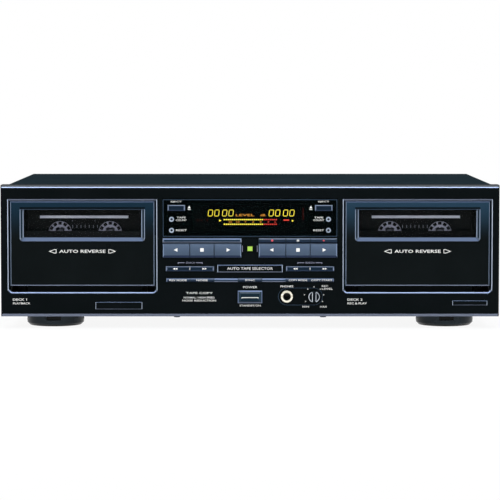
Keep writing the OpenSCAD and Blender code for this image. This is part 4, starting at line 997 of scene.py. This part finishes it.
tube_glass = moulding("tube_glass", srgb(4, 8, 8), srgb(7, 12, 12), 0.3, bump=0.02)
lit_yellow = glowing("lit_yellow", srgb(222, 200, 40), srgb(250, 232, 84), 10.0)
lit_orange = glowing("lit_orange", srgb(214, 132, 40), srgb(240, 164, 66), 6.5)
lit_red = glowing("lit_red", srgb(206, 50, 44), srgb(236, 80, 66), 6.4)
lit_dim_red = glowing("lit_dim_red", srgb(96, 30, 28), srgb(126, 40, 36), 2.6)
lit_green = glowing("lit_green", srgb(150, 206, 52), srgb(206, 240, 110), 1.0)

TUBE_W, TUBE_H, TUBE_T, TUBE_Z = 95.6, 21.6, 0.3, 83.9
SIGNS = printed_on(TUBE_FACE_D - TUBE_T)
COUNTERS_X = (-35.4, 15.9)
DIGITS_X = (0.0, 5.4, 12.0, 17.4)
DIGIT_W, DIGIT_H, DIGIT_LOW, DIGIT_LINE, DIGIT_LEAN = 4.1, 5.6, 84.6, 0.5, 0.12
UPRIGHTS_APART, UPRIGHT_CUT, CROSSBAR_CUT = 0.86, 1.2, 1.1
BARS, PEAK_BARS = 20, 7
BAR_FIRST, BAR_PITCH, BAR_W, BAR_H = -21.6, 1.68, 1.2, 1.0
BAR_ROWS = (81.8, 77.9)
SCALE_Z, SCALE_H, SCALE_W = 79.85, 1.3, 1.5
SCALE_FIRST, SCALE_PITCH = -16.6, 6.4
LEGEND_Z, LEGEND_H = 85.6, 1.9
STANDBY_DOTS_X, STANDBY_DOT_R = (-44.0, -41.0, -36.0), 0.6
LOW_SIGNS_Z = 81.4
LIT_ARROWS = ((-25.4, 81.0, 1.8, 1.9), (35.8, 80.8, 1.6, 1.7))
SHORT_BAR_X, SHORT_BAR_W, SHORT_BAR_H = 30.6, 4.8, 1.1
DIM_LINE_X, DIM_LINE_Z, DIM_LINE_H = 44.8, 86.6, 9.6
CAP_W, CAP_H, CAP_T, CAP_Z = 4.2, 3.8, 0.2, 57.45


def tube_face():
    """The dark glass face of the display tube."""
    bm = bmesh.new()
    soft_slab(bm, 0, TUBE_Z, TUBE_W, TUBE_H, TUBE_FACE_D - TUBE_T, TUBE_FACE_D, bevel=0.2, segments=2)
    finished("tube_face", bm, "deck", tube_glass)


def nought(bm, x, z):
    """A nought of four bars that leans to the right."""
    for side in (-1, 1):
        upright_x = x + side * DIGIT_W / 2 * UPRIGHTS_APART
        slab(bm, upright_x, z, DIGIT_LINE, DIGIT_H - UPRIGHT_CUT, *SIGNS, DIGIT_LEAN)
        bar_x, bar_z = x + side * DIGIT_H / 2 * DIGIT_LEAN, z + side * (DIGIT_H - DIGIT_LINE) / 2
        slab(bm, bar_x, bar_z, DIGIT_W - CROSSBAR_CUT, DIGIT_LINE, *SIGNS, DIGIT_LEAN)


def level_bars(bm, steps):
    """Bars of both rows, one for each step."""
    for z in BAR_ROWS:
        for step in steps:
            slab(bm, BAR_FIRST + step * BAR_PITCH, z, BAR_W, BAR_H, *SIGNS)


def scale_word(bm, text, x):
    """A number between the two rows of bars."""
    words(bm, text, x, SCALE_Z, SCALE_H, SCALE_W * len(text), *SIGNS)


def lit_counters():
    """Two counters of four noughts, the level bars between them and two arrows."""
    bm = bmesh.new()
    for first in COUNTERS_X:
        for x in DIGITS_X:
            nought(bm, first + x + DIGIT_W / 2, DIGIT_LOW + DIGIT_H / 2)
    level_bars(bm, range(BARS))
    for x, z, w, h in LIT_ARROWS:
        arrow(bm, x, z, w, h, 0, *SIGNS)
    finished("lit_counters", bm, "deck", lit_yellow)


def lit_legends():
    """The legend over the level bars and the numbers between them."""
    bm = bmesh.new()
    for text, x, width in (("LEVEL", -4.2, 15.6), ("dB", 10.8, 4.2)):
        words(bm, text, x, LEGEND_Z, LEGEND_H, width, *SIGNS)
    for step, text in enumerate(("20", "10", "7", "3", "0")):
        scale_word(bm, text, SCALE_FIRST + step * SCALE_PITCH)
    finished("lit_legends", bm, "deck", lit_orange)


def lit_peaks():
    """The last level bars with their numbers, and a short bar beside them."""
    bm = bmesh.new()
    level_bars(bm, range(BARS, BARS + PEAK_BARS))
    for text, x in (("3", 15.4), ("6", 21.2)):
        scale_word(bm, text, x)
    slab(bm, SHORT_BAR_X, LOW_SIGNS_Z, SHORT_BAR_W, SHORT_BAR_H, *SIGNS)
    finished("lit_peaks", bm, "deck", lit_red)


def lit_standby():
    """Three dim dots at the left, and the dim line at the right."""
    bm = bmesh.new()
    for x in STANDBY_DOTS_X:
        disc(bm, x, LOW_SIGNS_Z, STANDBY_DOT_R, *SIGNS, sides=10)
    slab(bm, DIM_LINE_X, DIM_LINE_Z, FINE_LINE, DIM_LINE_H, *SIGNS)
    finished("lit_standby", bm, "deck", lit_dim_red)


def lamp_cap():
    """The glowing cap over the lens between the two key banks."""
    bm = bmesh.new()
    soft_slab(bm, 0, CAP_Z, CAP_W, CAP_H, LENS_FACE_D - CAP_T, LENS_FACE_D, bevel=0.12, segments=2)
    finished("lamp_cap", bm, "deck", lit_green)


tube_face()
lit_counters()
lit_legends()
lit_peaks()
lit_standby()
lamp_cap()


# Studio, in metres, with the lens and its sensor in millimetres and angles in degrees

PAPER = 0.86
PAPER_SHADE = 0.985 * PAPER
WHITE_NEAR, WHITE_FAR = 0.3, 1.0
COOL = (0.92, 0.96, 1.0)
AIR_COLOUR = (0.84, 0.92, 1.0, 1.0)
AIR_STRENGTH = 0.22
LENS, SENSOR_W = 178.2, 36.0
CAMERA_AWAY, CAMERA_H = 2.08, 0.2076
CAMERA_DOWN = 3.885


def grey(value):
    return (value, value, value, 1.0)


def paper(name, shown):
    """White paper. To the camera and in reflections it is paler by the share shown, and white far out."""
    made, tree, shader = material(name, Roughness=0.95, Specular_IOR_Level=0.05)
    skin = placed(tree, GRAIN, Scale=60.0)
    feed(tree, shader, Base_Color=mixed(tree, skin["Mottle"], grey(PAPER), grey(PAPER_SHADE)))
    path = node(tree, "ShaderNodeLightPath").outputs
    seen = calc(tree, "MAXIMUM", path["Is Camera Ray"], path["Is Glossy Ray"])
    seen = calc(tree, "MAXIMUM", seen, path["Is Transmission Ray"])
    pale = ranged(tree, length(tree, coordinate(tree)), WHITE_NEAR, WHITE_FAR, shown, 1.0)
    white = node(tree, "ShaderNodeEmission", {"Color": grey(1.0), "Strength": 1.0}).outputs[0]
    blend = node(tree, "ShaderNodeMixShader", {0: times(tree, seen, pale), 1: shader.outputs[0], 2: white})
    output = next(n for n in tree.nodes if n.type == "OUTPUT_MATERIAL")
    tree.links.new(blend.outputs[0], output.inputs["Surface"])
    return made


def sheet(name, width, height, spot, tilt, shown):
    """A large flat of the studio, lying or, with a tilt in degrees, standing."""
    bm = bmesh.new()
    place = Matrix.Translation(spot) @ Matrix.Rotation(math.radians(tilt), 4, "X")
    bmesh.ops.create_grid(bm, x_segments=1, y_segments=1, size=0.5,
                          matrix=place @ Matrix.Diagonal((width, height, 1, 1)))
    mesh = bpy.data.meshes.new(name)
    bm.to_mesh(mesh)
    bm.free()
    mesh.materials.append(paper(name, shown))
    flat = bpy.data.objects.new(name, mesh)
    bpy.context.scene.collection.objects.link(flat)


def softbox(name, spot, target, width, height, power, colour=(1, 1, 1)):
    lamp = bpy.data.lights.new(name, "AREA")
    lamp.shape = "RECTANGLE"
    lamp.size = width
    lamp.size_y = height
    lamp.energy = power
    lamp.color = colour
    made = bpy.data.objects.new(name, lamp)
    bpy.context.scene.collection.objects.link(made)
    made.location = spot
    made.rotation_euler = (Vector(target) - Vector(spot)).to_track_quat("-Z", "Y").to_euler()


def studio_air():
    """The cool, even light from all around."""
    world = bpy.data.worlds.new("studio_air")
    world.use_nodes = True
    air = next(n for n in world.node_tree.nodes if n.type == "BACKGROUND")
    air.inputs["Color"].default_value = AIR_COLOUR
    air.inputs["Strength"].default_value = AIR_STRENGTH
    bpy.context.scene.world = world


def photo_camera():
    """The camera of the photograph."""
    lens = bpy.data.cameras.new("photo_camera")
    lens.lens = LENS
    lens.sensor_width = SENSOR_W
    lens.clip_start = 0.05
    lens.clip_end = 60.0
    camera = bpy.data.objects.new("photo_camera", lens)
    bpy.context.scene.collection.objects.link(camera)
    camera.location = (0.0, FACE_Y - CAMERA_AWAY, CAMERA_H)
    camera.rotation_euler = (math.radians(90 - CAMERA_DOWN), 0, 0)
    bpy.context.scene.camera = camera


sheet("studio_floor", 16, 16, spot=(0, 0, 0), tilt=0, shown=0.9)
sheet("studio_wall", 16, 8, spot=(0, 5.5, 4.0), tilt=90, shown=1.0)
softbox("box_top", (0, -0.25, 1.7), (0, -0.1, 0), 2.0, 1.2, 34, COOL)
softbox("box_left", (-1.9, -1.5, 1.0), (0, -0.1, 0.06), 1.0, 1.4, 34, COOL)
softbox("box_right", (1.9, -1.5, 1.0), (0, -0.1, 0.06), 1.0, 1.4, 34, COOL)
softbox("box_back", (0, 2.4, 1.6), (0, 0, 0.05), 2.0, 1.0, 30)
studio_air()
photo_camera()
bpy.context.scene.view_settings.view_transform = "Standard"
